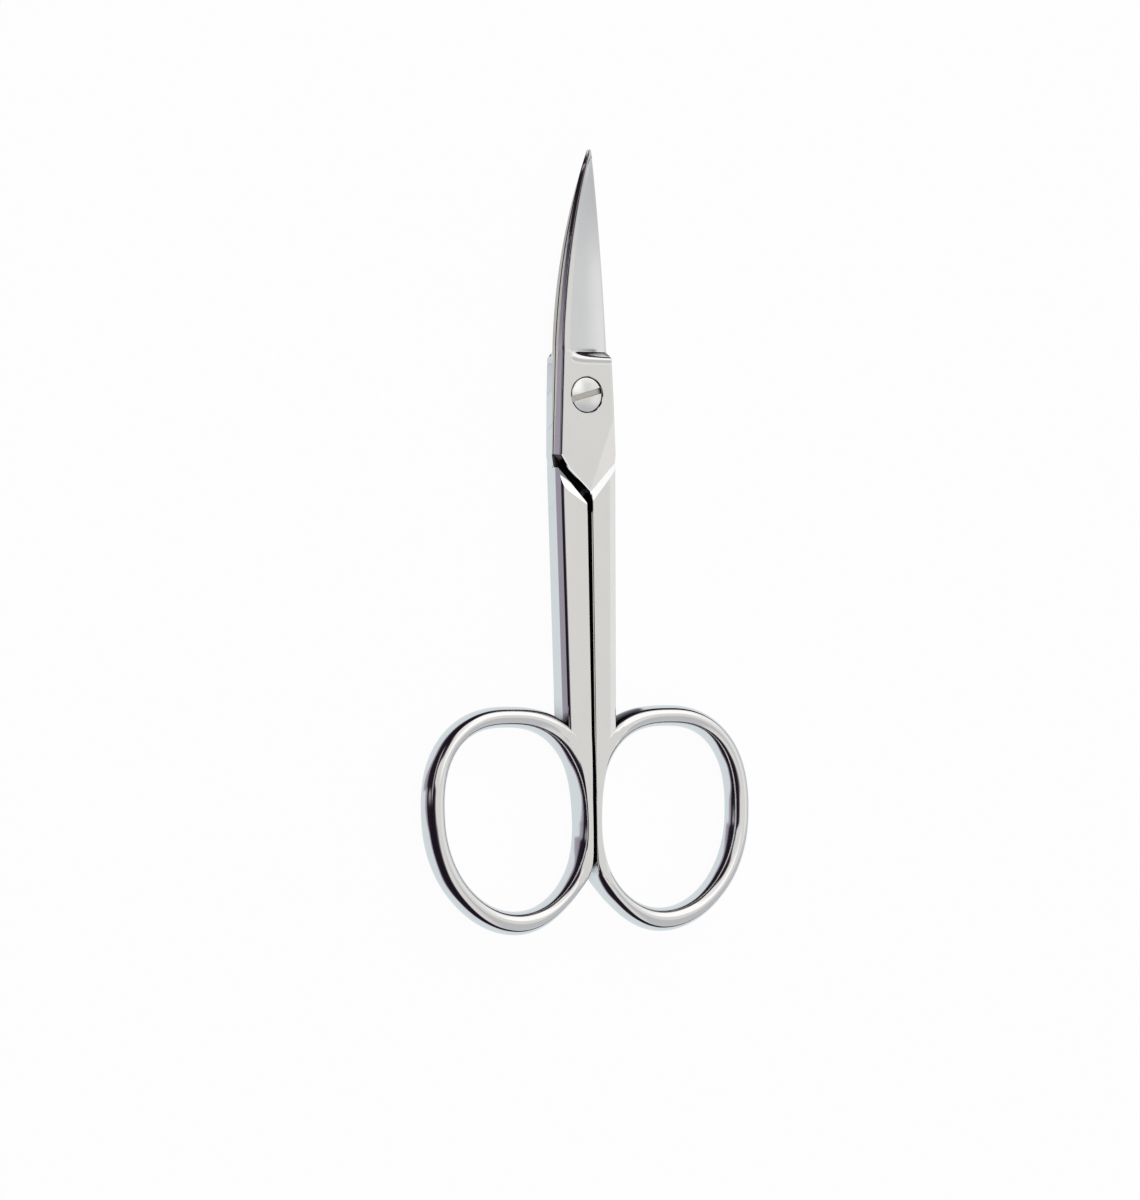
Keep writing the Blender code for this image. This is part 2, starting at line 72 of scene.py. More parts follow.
# %% Camera
YAW = math.radians(30.594)
PITCH = math.radians(2.062)
ROLL = math.radians(-0.95)
DISTANCE = 0.7625
PIXELS_PER_METRE = 8700.0
FRAME_HEIGHT = 1200
SHIFT_PIXELS = (12.375, -58.125)
SENSOR_HEIGHT = 24.0
AIM = Vector((0, 0, 0.0019))

back = Vector((-math.sin(YAW) * math.cos(PITCH), -math.sin(PITCH), math.cos(YAW) * math.cos(PITCH)))
right = Vector((0, 1, 0)).cross(back).normalized()
up = back.cross(right)
tilted_right = math.cos(ROLL) * right + math.sin(ROLL) * up
tilted_up = -math.sin(ROLL) * right + math.cos(ROLL) * up
lens_data = bpy.data.cameras.new("camera")
camera = bpy.data.objects.new("camera", lens_data)
bpy.context.scene.collection.objects.link(camera)
bpy.context.scene.camera = camera
lens_data.sensor_fit = "VERTICAL"
lens_data.sensor_height = SENSOR_HEIGHT
lens_data.lens = PIXELS_PER_METRE * DISTANCE / FRAME_HEIGHT * SENSOR_HEIGHT
lens_data.shift_x = -SHIFT_PIXELS[0] / FRAME_HEIGHT
lens_data.shift_y = SHIFT_PIXELS[1] / FRAME_HEIGHT
lens_data.clip_start = 0.01
aimed = Matrix((tilted_right, tilted_up, back)).transposed().to_4x4()
camera.matrix_world = Matrix.Translation(AIM + back * DISTANCE) @ aimed
print("camera lens:", round(lens_data.lens, 1), "mm")

# %% [markdown]
# Both halves come from the same blank, so every size below serves both. A half is built in its
# own frame: u runs from the joint axis to the side of its own shank, y to the tip and w from the
# lapped face out to its outer face. The rear half is the same frame turned half a turn about y.
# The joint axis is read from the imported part, so the new pieces turn about the same line.

# %% Sizes of the halves, in metres
pivot_joint = frame["record"]["behaviour"]["joints"][0]
PIVOT = Vector(pivot_joint["pos_m"])
TIP_REACH = part_high[1] - PIVOT.y
BOW_REACH = PIVOT.y - part_low[1]
LAP = 0.00005
MEDIAL = 0.000175
MEDIAL_AT_TOP = 0.00025
SHANK_HALF = PIVOT.z
PLATE_THICK = 0.0016
HEEL_REACH = 0.0046
print("tip reach", round(TIP_REACH, 5), "bow reach", round(BOW_REACH, 5))

# %% [markdown]
# A form whose section changes along its length, such as a blade or a shank, is a loft: a row of
# rings with equally many points, joined ring to ring. Blender has no loft operator, so one short
# function skins the rings, and all the long forms below use it.

# %% Loft helper
CHAMFER_SHARE = 0.35


def loft(name, rings, closed=False):
    """Skin a row of rings that have equally many points."""
    bm = bmesh.new()
    loops = [[bm.verts.new(point) for point in ring] for ring in rings]
    following = loops[1:] + loops[:1] if closed else loops[1:]
    for here, there in zip(loops, following):
        for i in range(len(here)):
            bm.faces.new((here[i - 1], here[i], there[i], there[i - 1]))
    if not closed:
        bm.faces.new(loops[0])
        bm.faces.new(loops[-1])
    bmesh.ops.recalc_face_normals(bm, faces=bm.faces)
    mesh = bpy.data.meshes.new(name)
    bm.to_mesh(mesh)
    bm.free()
    piece = bpy.data.objects.new(name, mesh)
    bpy.context.scene.collection.objects.link(piece)
    return piece


def curve_through(start, corner, end, count):
    """Points on a smooth curve from start to end that is drawn towards the corner."""
    points = []
    for i in range(count + 1):
        t = i / count
        place = (1 - t) ** 2 * Vector(start) + 2 * t * (1 - t) * Vector(corner) + t**2 * Vector(end)
        points.append(tuple(place))
    return points


def chamfer(start, corner, end, count):
    """Points of a soft chamfer, nearly straight between start and end."""
    middle = (Vector(start) + Vector(end)) / 2
    return curve_through(start, tuple(middle.lerp(Vector(corner), CHAMFER_SHARE)), end, count)


def arch(t, start, middle, end):
    """A value on the same kind of curve."""
    return (1 - t) ** 2 * start + 2 * t * (1 - t) * middle + t**2 * end


def ease(value, start, end):
    """Smooth step from 0 to 1."""
    share = min(1, max(0, (value - start) / (end - start)))
    return share * share * (3 - 2 * share)


def between(value, stops, levels, eased=False):
    """Interpolation along increasing stops, straight or with smooth joints."""
    for i in range(len(stops) - 1):
        if value <= stops[i + 1]:
            share = max(0, (value - stops[i]) / (stops[i + 1] - stops[i]))
            share = ease(share, 0, 1) if eased else share
            return levels[i] + share * (levels[i + 1] - levels[i])
    return levels[-1]

# %% [markdown]
# The blades of curved nail scissors bend upwards. Both lapping faces lie on one surface of
# revolution about the joint axis, so that the blades still meet when they turn. The height of
# that surface depends only on the distance from the axis.

# %% Curve of the blades
BEND_START = 0.0050
TIP_LIFT = 0.00295


def lift(u, y):
    """Height of the curved lapping surface above the joint."""
    past = max(0, math.hypot(u, y) - BEND_START) if y > 0 else 0
    return TIP_LIFT * (past / (TIP_REACH - BEND_START)) ** 2


print("lift half way and at the tip:", round(lift(0, TIP_REACH / 2), 5), round(lift(0, TIP_REACH), 5))

# %% [markdown]
# The section of the blade is flat with rounded corners at the plate, and hollow ground past the
# lip: a narrow land stays at the spine, and a shallow trough runs from it down to the cutting
# edge. One function draws both, and a value named ground goes from 0 to 1 between them.

# %% Section of plate and blade
HOLLOW_DEPTH = 0.00013
CUTTING_EDGE = 0.00005
EDGE_AT_HEEL = 0.00354
SPINE_AT_HEEL = 0.00305
PLATE_DRAFT = 0.00008
LIP_CURL_POWER = 7
CORNER_DEPTH_SHARE = 1.35
LAND_OVER_ROUND = 1.15
BEAD_RISE_SHARE = 0.12
CORNER_POINTS = 8
TROUGH_POINTS = 28
UNDERSIDE_POINTS = 10


def blade_ring(y, spine, edge, thick, land, rounds, lean, ground, bead, curl, bend):
    """Section of the plate or blade, from its lower spine corner round to its underside."""
    spine_round, edge_round = rounds
    draft = PLATE_DRAFT * (1 - ground)
    land_end = -spine + max(land, spine_round * LAND_OVER_ROUND)
    slope = (thick - LAP - CUTTING_EDGE) / (edge - land_end)
    deepest = HOLLOW_DEPTH * (edge + spine) / (EDGE_AT_HEEL + SPINE_AT_HEEL)

    def face(u, plate_level, hollow):
        ground_level = thick - slope * (u - land_end) - hollow
        return plate_level + ground * (ground_level - plate_level)

    outline = [(-spine - lean, LAP, curl)]
    wall_top = (-spine, thick - spine_round * CORNER_DEPTH_SHARE)
    face_start = (-spine + spine_round, thick)
    shoulder = chamfer(wall_top, (-spine, thick), face_start, CORNER_POINTS)
    outline += [(u, w, curl) for u, w in shoulder]
    for i in range(TROUGH_POINTS + 1):
        across = i / TROUGH_POINTS
        u = land_end + across * (edge - edge_round - land_end)
        hollow = deepest * (1 - (2 * across - 1) ** 2)
        raised = bead * ease(across, 0, BEAD_RISE_SHARE)
        outline.append((u, face(u, thick + raised, hollow), curl * (1 - across) ** LIP_CURL_POWER))
    face_end = (edge - edge_round, thick)
    shoulder = curve_through(face_end, (edge, thick), (edge, thick - edge_round), CORNER_POINTS)
    outline += [(u, face(u, w + bead, 0), 0) for u, w in shoulder[1:]]
    for i in range(UNDERSIDE_POINTS):
        across = i / UNDERSIDE_POINTS
        u = edge + draft - across * (edge + draft + spine + lean)
        outline.append((u, LAP, curl * across**LIP_CURL_POWER))
    return [(u, y + ahead, w + bend * lift(u, y + ahead)) for u, w, ahead in outline]

# %% [markdown]
# Between the plate and the ground blade stands the ricasso's polished lip. It rolls over into
# a short steep wall and runs out at the foot of the trough, and at its spine end it curls
# towards the tip. Two smooth curves give that profile.

# %% Plate and blade
PLATE_CORNER_REACH = 0.0069
PLATE_TAIL_REACH = 0.0132
SHANK_TOP_REACH = 0.0090
SIDE_STOPS = (-PLATE_TAIL_REACH, -SHANK_TOP_REACH, -PLATE_CORNER_REACH, 0, HEEL_REACH)
EDGE_LEVELS = (0.00348, 0.00348, 0.00378, 0.00360, 0.00342)
SPINE_LEVELS = (0.00362, 0.00362, 0.00362, 0.0033, SPINE_AT_HEEL)
PLATE_ROUND = 0.00022
LAND_WIDTH = 0.0009
LAND_AT_BELLY = 0.0008
LIP_START = HEEL_REACH - 0.00070
LIP_CORNER = HEEL_REACH - 0.00020
LIP_MIDDLE = HEEL_REACH + 0.00006
LIP_FOOT_CORNER = HEEL_REACH + 0.00032
LIP_FOOT = HEEL_REACH + 0.00050
BEAD_STOPS = (
    HEEL_REACH - 0.00120,
    HEEL_REACH - 0.00092,
    HEEL_REACH - 0.00045,
    HEEL_REACH + 0.00015,
    HEEL_REACH + 0.00050,
)
BEAD_LEVELS = (0, -0.000022, 0.000050, 0, 0)
BEAD_POINTS = 14
LIP_CURL = 0.00045
LIP_CURL_FADE = 0.2
LIP_POINTS = 14
PLATE_STATIONS = 40
BLADE_STATIONS = 72
BELLY_REACH = 0.0170
SPINE_AT_BELLY = 0.00252
SPINE_AT_TIP = 0.00012
EDGE_AT_BELLY = 0.00304
EDGE_AT_TIP = 0.00026
THICK_AT_BELLY = 0.00135
THICK_AT_TIP = 0.00030
TIP_ROUND = 0.00015
LAND_AT_TIP = 0.0002
SPINE_ROUND_AT_BELLY = 0.00024
SPINE_ROUND_AT_TIP = 0.00012
SPINE_LEAN_AT_BELLY = 0.00005
SPINE_LEAN_AT_TIP = 0.00016
EDGE_ROUND_AT_TIP = 0.00008
TIP_STATIONS = 4
TIP_END_SCALE = 0.3


def plate_and_blade(name, bend):
    """The lapped joint plate and the hollow ground blade in one loft."""
    rings = []
    rounds = (PLATE_ROUND, PLATE_ROUND)
    tail = -PLATE_TAIL_REACH
    groove = BEAD_STOPS[0]
    stations = [tail + (groove - tail) * i / PLATE_STATIONS for i in range(PLATE_STATIONS)]
    stations += [groove + (LIP_START - groove) * i / BEAD_POINTS for i in range(BEAD_POINTS)]
    for y in stations:
        curl = LIP_CURL * ease(y, 0, LIP_START)
        spine = between(y, SIDE_STOPS, SPINE_LEVELS)
        edge = between(y, SIDE_STOPS, EDGE_LEVELS)
        bead = between(y, BEAD_STOPS, BEAD_LEVELS, eased=True)
        sizes = (spine, edge, PLATE_THICK, LAND_WIDTH, rounds, PLATE_DRAFT)
        rings.append(blade_ring(y, *sizes, 0, bead, curl, bend))
    profile = curve_through((LIP_START, 0), (LIP_CORNER, 0), (LIP_MIDDLE, 0.5), LIP_POINTS)
    profile += curve_through((LIP_MIDDLE, 0.5), (LIP_FOOT_CORNER, 1), (LIP_FOOT, 1), LIP_POINTS)[1:]
    for y, ground in profile:
        spine = between(y, SIDE_STOPS, SPINE_LEVELS)
        level = between(y, SIDE_STOPS, EDGE_LEVELS)
        edge = level + (EDGE_AT_HEEL - level) * ground
        bead = between(y, BEAD_STOPS, BEAD_LEVELS, eased=True)
        sizes = (spine, edge, PLATE_THICK, LAND_WIDTH, rounds, PLATE_DRAFT)
        rings.append(blade_ring(y, *sizes, ground, bead, LIP_CURL, bend))
    for k in range(1, BLADE_STATIONS + 1):
        t = k / BLADE_STATIONS
        spine_round = arch(t, PLATE_ROUND, SPINE_ROUND_AT_BELLY, SPINE_ROUND_AT_TIP)
        edge_round = arch(t, PLATE_ROUND, PLATE_ROUND, EDGE_ROUND_AT_TIP)
        rings.append(blade_ring(
            arch(t, LIP_FOOT, BELLY_REACH, TIP_REACH - TIP_ROUND),
            arch(t, SPINE_AT_HEEL, SPINE_AT_BELLY, SPINE_AT_TIP),
            arch(t, EDGE_AT_HEEL, EDGE_AT_BELLY, EDGE_AT_TIP),
            arch(t, PLATE_THICK, THICK_AT_BELLY, THICK_AT_TIP),
            arch(t, LAND_WIDTH, LAND_AT_BELLY, LAND_AT_TIP),
            (spine_round, edge_round),
            arch(t, PLATE_DRAFT, SPINE_LEAN_AT_BELLY, SPINE_LEAN_AT_TIP),
            1,
            0,
            LIP_CURL * (1 - ease(t, 0, LIP_CURL_FADE)),
            bend,
        ))
    last = [Vector(point) for point in rings[-1]]
    centre = sum(last, Vector()) / len(last)
    for k in range(1, TIP_STATIONS + 1):
        turn = math.pi / 2 * k / TIP_STATIONS
        ahead = math.sin(turn)
        scale = max(TIP_END_SCALE, math.cos(turn))
        end = centre + Vector((0, TIP_ROUND * ahead, 0))
        rings.append([end + (point - centre) * scale for point in last])
    piece = loft(name, rings)
    print(name, len(piece.data.polygons), "faces")
    return piece

# %% [markdown]
# Straight cuts are made with Bisect in edit mode: it splits the selected faces along a plane,
# clears what lies beyond and fills the opening. It keeps the rest of the loft as it is, where
# a Boolean would need a tool for every cut.

# %% Bisect helper
WELD = 1e-7


def pick_faces(piece, wanted):
    """Make a piece active in edit mode, with only the wanted faces selected."""
    bpy.ops.object.select_all(action="DESELECT")
    bpy.context.view_layer.objects.active = piece
    piece.select_set(True)
    for vert in piece.data.vertices:
        vert.select = False
    for edge in piece.data.edges:
        edge.select = False
    for polygon in piece.data.polygons:
        polygon.select = wanted(polygon)
    bpy.ops.object.mode_set(mode="EDIT")
    bpy.ops.mesh.select_mode(type="FACE")


def cut_off(piece, point, normal, last_y=TIP_REACH):
    """Cut away what lies beyond a plane, among the faces up to last_y."""
    verts = piece.data.vertices
    across = Vector(normal).normalized()
    pick_faces(piece, lambda polygon: max(verts[i].co.y for i in polygon.vertices) <= last_y)
    bpy.ops.mesh.bisect(
        plane_co=point, plane_no=across, use_fill=True, clear_outer=True, threshold=WELD
    )
    bpy.ops.object.mode_set(mode="OBJECT")


def line_normal(outer, inner):
    """Upward normal, in plan, of a line between two (u, y) points."""
    along = (Vector(outer) - Vector(inner)).normalized()
    return Vector((-along.y, along.x))

# %% [markdown]
# The plate is ground to a point where it meets the V step. Its free edge is two straight cuts
# with a pair of chamfers on each, and a shallow facet slopes from its face to the step.

# %% Free edge and facet of the plate
FREE_POINT = (MEDIAL, -0.01115)
FREE_BEND = (-0.0025, -0.0086)
FREE_CORNER = (-0.00362, -PLATE_CORNER_REACH)
FACET_OUTER = (0.0025, -0.0053)
FACET_INNER = (MEDIAL, -0.0112)
FACET_SLOPE = 0.05
FREE_CHAMFERS = ((1.0, 0.55), (0.6, 1.6))


def trim_plate(piece):
    """Cut the plate's free edge to its point and slope its face towards the V step."""
    for low, high in ((FREE_POINT, FREE_BEND), (FREE_BEND, FREE_CORNER)):
        side = -line_normal(low, high)
        beyond = Vector((side.x, side.y, 0))
        cut_off(piece, (*high, 0), beyond)
        for share, steepness in FREE_CHAMFERS:
            on_face = Vector((*high, PLATE_THICK)) - beyond * PLATE_ROUND * share
            cut_off(piece, on_face, beyond * steepness + Vector((0, 0, 1)))
    down = -line_normal(FACET_OUTER, FACET_INNER)
    tilt = Vector((down.x * FACET_SLOPE, down.y * FACET_SLOPE, 1))
    cut_off(piece, (*FACET_INNER, PLATE_THICK), tilt, last_y=0.0)

# %% [markdown]
# The finger bow is an oval ring that was rolled and polished round, but its faces were ground
# flat where it follows the middle line, in one pass with the shank. A curve with a round bevel
# can't change its section like that, so the ring is a closed loft round the finger hole.

# %% Finger bow
HOLE_TOP_REACH = 0.0381
HOLE_WIDTH = 0.0179
WALL_TURNS = (0, 45, 90, 130, 232, 270, 315, 360)
WALLS = (0.00222, 0.00214, 0.00240, 0.00270, 0.00198, 0.00270, 0.00230, 0.00222)
MEDIAL_WALL = 0.00103
BOW_THICK = 0.0036
BOW_FLAT_THICK = 0.0040
BOW_LEAN = 0.0005
UPPER_ROUNDNESS = 2.49
LOWER_ROUNDNESS = 2.03
SECTION_ROUNDNESS = 2.3
FLAT_ROUNDNESS = 6.0
FACE_TURNS = (95, 140, 205, 245)
PARTING_TURNS = (126, 150, 195, 225)
PARTING_POWER = 8
BOW_STATIONS = 216
BOW_SECTION_POINTS = 64
HOLE_BOTTOM_REACH = BOW_REACH - WALLS[5]
HOLE_HALF_WIDTH = HOLE_WIDTH / 2
HOLE_HALF_LENGTH = (HOLE_BOTTOM_REACH - HOLE_TOP_REACH) / 2
HOLE_CENTRE = Vector((
    MEDIAL + MEDIAL_WALL + HOLE_HALF_WIDTH,
    -(HOLE_BOTTOM_REACH + HOLE_TOP_REACH) / 2,
))
NUDGE_TURN = math.tau / 288
print("finger hole", round(HOLE_WIDTH * 1000, 1), "x", round(HOLE_HALF_LENGTH * 2000, 1), "mm")


def super_point(turn, roundness):
    """A point of a superellipse with a half width and half height of 1."""
    across = math.copysign(abs(math.cos(turn)) ** (2 / roundness), math.cos(turn))
    along = math.copysign(abs(math.sin(turn)) ** (2 / roundness), math.sin(turn))
    return across, along


def hole_point(turn):
    """A point of the finger hole, by its turn from the outermost side."""
    across, along = super_point(turn, UPPER_ROUNDNESS if math.sin(turn) > 0 else LOWER_ROUNDNESS)
    return HOLE_CENTRE + Vector((HOLE_HALF_WIDTH * across + BOW_LEAN * along, HOLE_HALF_LENGTH * along))


def flatness(degrees, turns):
    """How far a side of the bow's section has gone from round to flat."""
    first, full, fading, last = turns
    return ease(degrees, first, full) * (1 - ease(degrees, fading, last))


def finger_bow(name):
    """The oval ring, round where it is free and ground flat where it follows the middle line."""
    rings = []
    for k in range(BOW_STATIONS):
        turn = math.tau * (k + 0.5) / BOW_STATIONS
        along = (hole_point(turn + NUDGE_TURN) - hole_point(turn - NUDGE_TURN)).normalized()
        outwards = Vector((along.y, -along.x))
        degrees = math.degrees(turn)
        wall = between(degrees, WALL_TURNS, WALLS, eased=True)
        if outwards.x < 0:
            room = (hole_point(turn).x - MEDIAL) / -outwards.x
            wall = (wall**-PARTING_POWER + room**-PARTING_POWER) ** (-1 / PARTING_POWER)
        ground = flatness(degrees, FACE_TURNS)
        depth = (BOW_THICK + ground * (BOW_FLAT_THICK - BOW_THICK)) / 2
        centre = hole_point(turn) + outwards * wall / 2
        ring = []
        for j in range(BOW_SECTION_POINTS):
            angle = math.tau * (j + 0.5) / BOW_SECTION_POINTS
            flat = flatness(degrees, PARTING_TURNS) if math.cos(angle) > 0 else 0
            roundness = SECTION_ROUNDNESS + flat * (FLAT_ROUNDNESS - SECTION_ROUNDNESS)
            across, over = super_point(angle, roundness)
            place = centre + outwards * (across * wall / 2)
            ring.append((place.x, place.y, max(-SHANK_HALF, min(SHANK_HALF, over * depth))))
        rings.append(ring)
    piece = loft(name, rings, closed=True)
    print(name, len(piece.data.polygons), "faces")
    return piece

# %% [markdown]
# The shank is a bar with slightly crowned faces. Its outer flank was pressed in two dies, which
# leaves a fine ridge along it, and the flank leans a little away from that line on both sides.

# %% Shank
SHANK_AT_TOP = 0.00364
SHANK_AT_BOW = 0.00316
SHANK_ROUND = 0.00024
SHANK_CROWN = 0.0011
SHANK_CROWN_DROP = 0.00007
SHANK_RIDGE = 0.0001
SHANK_RIDGE_LEVEL = 0.00045
RIDGE_ROUND = 0.00006
MEDIAL_ROUND = 0.00014
TAIL_SHARE = 0.55
TAIL_TUCK = 0.00015
TAIL_STATIONS = 24
SHANK_STATIONS = 20
BEVEL_OUTER_REACH = 0.01056
BEVEL_INNER_REACH = 0.0128
BEVEL_DROP = 0.0008
SHOULDER_OUTER_REACH = 0.00845
SHOULDER_INNER_REACH = 0.01265
FACE_POINTS = 6


def hole_medial(y):
    """The finger hole's distance from the middle line, on its medial side."""
    along = min(1, max(-1, (y - HOLE_CENTRE.y) / HOLE_HALF_LENGTH))
    roundness = UPPER_ROUNDNESS if along > 0 else LOWER_ROUNDNESS
    across = (1 - abs(along) ** roundness) ** (1 / roundness)
    return HOLE_CENTRE.x - HOLE_HALF_WIDTH * across + BOW_LEAN * along


def shank_ring(y, inner, outer):
    """Section of the shank, with a soft crown and a fine forging ridge on its flank."""
    scale = min(1, (outer - inner) / (SHANK_AT_BOW - MEDIAL))
    medial_round = MEDIAL_ROUND * scale
    crown = SHANK_CROWN * scale
    edge = SHANK_ROUND * scale
    crest = SHANK_HALF - SHANK_CROWN_DROP
    wall_top = (inner, SHANK_HALF - medial_round * 2)
    face_start = (inner + medial_round, SHANK_HALF)
    upper = chamfer(wall_top, (inner, SHANK_HALF), face_start, FACE_POINTS)
    crown_start = (outer - crown, SHANK_HALF)
    crown_middle = (outer - (crown + edge) / 2, SHANK_HALF)
    upper += curve_through(crown_start, crown_middle, (outer - edge, crest), FACE_POINTS)
    flank_top = crest - edge * CORNER_DEPTH_SHARE
    upper += chamfer((outer - edge, crest), (outer, crest), (outer, flank_top), CORNER_POINTS)[1:]
    lower = [(u, -w) for u, w in reversed(upper)]
    ridge = outer + SHANK_RIDGE * scale
    top_lean = SHANK_RIDGE * scale * RIDGE_ROUND / (flank_top + SHANK_RIDGE_LEVEL)
    bottom_lean = SHANK_RIDGE * scale * RIDGE_ROUND / (flank_top - SHANK_RIDGE_LEVEL)
    line = [
        (ridge - top_lean, -SHANK_RIDGE_LEVEL + RIDGE_ROUND),
        (ridge - bottom_lean, -SHANK_RIDGE_LEVEL - RIDGE_ROUND),
    ]
    return [(u, y, w) for u, w in upper + line + lower]


def shank(name):
    """The straight shank, with its tail inside the bow, and the shoulder's bevel cut on it."""
    rings = []
    crotch = -HOLE_TOP_REACH
    ends = (crotch, -SHANK_TOP_REACH)
    for i in range(SHANK_STATIONS + 1):
        y = -PLATE_CORNER_REACH + (crotch + PLATE_CORNER_REACH) * i / SHANK_STATIONS
        inner = between(y, ends, (MEDIAL, MEDIAL_AT_TOP))
        outer = between(y, ends, (SHANK_AT_BOW, SHANK_AT_TOP))
        rings.append(shank_ring(y, inner, outer))
    for k in range(1, TAIL_STATIONS + 1):
        y = crotch + (HOLE_CENTRE.y - crotch) * k / TAIL_STATIONS
        inner = MEDIAL + TAIL_TUCK * (k / TAIL_STATIONS) ** 2
        outer = min(SHANK_AT_BOW, MEDIAL + TAIL_SHARE * (hole_medial(y) - MEDIAL))
        rings.append(shank_ring(y, inner, outer))
    piece = loft(name, rings)
    crest_outer = Vector((SHANK_AT_TOP, -BEVEL_OUTER_REACH, -SHANK_HALF))
    crest_inner = Vector((MEDIAL, -BEVEL_INNER_REACH, -SHANK_HALF))
    foot_outer = Vector((SHANK_AT_TOP, -SHOULDER_OUTER_REACH, BEVEL_DROP - SHANK_HALF))
    beyond = (foot_outer - crest_outer).cross(crest_inner - crest_outer)
    cut_off(piece, crest_inner, beyond if beyond.z < 0 else -beyond)
    return piece

# %% [markdown]
# The spaces that are ground away are modelled as solids of their own and taken off with Boolean
# modifiers: the nest for the other half's plate, and the room over the V step, whose bevel is
# twisted because it is wider at the middle than at the side.

# %% Spaces of the V
OVERRUN = 0.002
NEST_DEPTH = 0.00025
STEP_FOOT_OUTER = Vector((SHANK_AT_TOP, -0.0080, PLATE_THICK))
STEP_FOOT_INNER = Vector((MEDIAL, -0.01135, PLATE_THICK))
STEP_CREST_OUTER = Vector((SHANK_AT_TOP, -0.0085, SHANK_HALF))
STEP_CREST_INNER = Vector((MEDIAL, -0.0125, SHANK_HALF))
STEP_PATCHES = 32
STEP_SPARE_PATCHES = 4


def step_space(name):
    """The space over the plate, bounded by the V step's twisted bevel."""
    rings = []
    for k in range(-STEP_SPARE_PATCHES, STEP_PATCHES + STEP_SPARE_PATCHES + 1):
        foot = STEP_FOOT_OUTER.lerp(STEP_FOOT_INNER, k / STEP_PATCHES)
        crest = STEP_CREST_OUTER.lerp(STEP_CREST_INNER, k / STEP_PATCHES)
        top = crest + (crest - foot)
        bottom = foot - (crest - foot)
        far_bottom = Vector((bottom.x, OVERRUN, bottom.z))
        far_top = Vector((top.x, OVERRUN, top.z))
        rings.append([top, crest, foot, bottom, far_bottom, far_top])
    return loft(name, rings)


def nest_box(name):
    """The space for the other half's plate, bounded by the shoulder and the lapped face."""
    upwards = line_normal((SHANK_AT_TOP, -SHOULDER_OUTER_REACH), (MEDIAL, -SHOULDER_INNER_REACH))
    length = 2 * (SHOULDER_INNER_REACH + OVERRUN)
    breadth = SHOULDER_INNER_REACH
    bottom = -SHANK_HALF - OVERRUN
    top = NEST_DEPTH
    offset = upwards * breadth / 2
    bpy.ops.object.select_all(action="DESELECT")
    bpy.ops.mesh.primitive_cube_add(size=1)
    box = bpy.context.object
    box.name = name
    box.data.transform(
        Matrix.Translation((MEDIAL + offset.x, offset.y - SHOULDER_INNER_REACH, (top + bottom) / 2))
        @ Matrix.Rotation(math.atan2(-upwards.x, upwards.y), 4, "Z")
        @ Matrix.Diagonal((length, breadth, top - bottom, 1))
    )
    return box

# %% [markdown]
# A turned hole is a turned tool: a cylinder that is taken away. The counterbore for the screw
# head gets a fine chamfer, so the cutter is a profile spun round the axis.

# %% Turned forms
TURN_STEPS = 128


def turned(name, outline):
    """Spin a profile of (radius, height) points into a closed solid of revolution."""
    bpy.ops.object.select_all(action="DESELECT")
    mesh = bpy.data.meshes.new(name)
    piece = bpy.data.objects.new(name, mesh)
    bpy.context.scene.collection.objects.link(piece)
    points = [(radius, 0, height) for radius, height in outline]
    mesh.from_pydata(points, [(i, i + 1) for i in range(len(points) - 1)], [])
    bpy.context.view_layer.objects.active = piece
    piece.select_set(True)
    bpy.ops.object.mode_set(mode="EDIT")
    bpy.ops.mesh.select_all(action="SELECT")
    bpy.ops.mesh.spin(
        steps=TURN_STEPS, angle=math.tau, center=(0, 0, 0), axis=(0, 0, 1), use_auto_merge=True
    )
    bpy.ops.mesh.select_all(action="SELECT")
    bpy.ops.mesh.remove_doubles(threshold=WELD)
    bpy.ops.mesh.normals_make_consistent(inside=False)
    bpy.ops.object.mode_set(mode="OBJECT")
    return piece


def combine(piece, tool, operation):
    """Join a solid to a piece or cut the piece by it, apply that, and drop the tool."""
    boolean = piece.modifiers.new(tool.name, "BOOLEAN")
    boolean.object = tool
    boolean.operation = operation
    boolean.solver = "EXACT"
    bpy.ops.object.select_all(action="DESELECT")
    bpy.context.view_layer.objects.active = piece
    piece.select_set(True)
    bpy.ops.object.modifier_apply(modifier=boolean.name)
    bpy.data.objects.remove(tool, do_unlink=True)

# %% [markdown]
# Now a half can be put together in the order of the real work: the bar is milled for the nest
# and the V step, the plate with its blade and the bow are joined to it, and the holes are bored.
# Its faces are smooth shaded, with sharp edges kept where the grinding left them, and weighted
# normals keep the large flats truly flat in the mirror.

# %% Halves
SCREW_GAP = 0.0001
HEAD_RADIUS = 0.0020
HEAD_THICK = 0.0007
PIN_RADIUS = 0.0012
THREAD_RADIUS = 0.0010
HOLE_CHAMFER = 0.00006
SHARP_ANGLE = math.radians(14)


def bore(name, radius, bottom, top, chamfer_level):
    """A cutter for a round hole, wider where it leaves the surface."""
    return turned(name, [
        (0, bottom),
        (radius, bottom),
        (radius, chamfer_level - HOLE_CHAMFER),
        (radius + HOLE_CHAMFER, chamfer_level),
        (radius + HOLE_CHAMFER, top),
        (0, top),
    ])


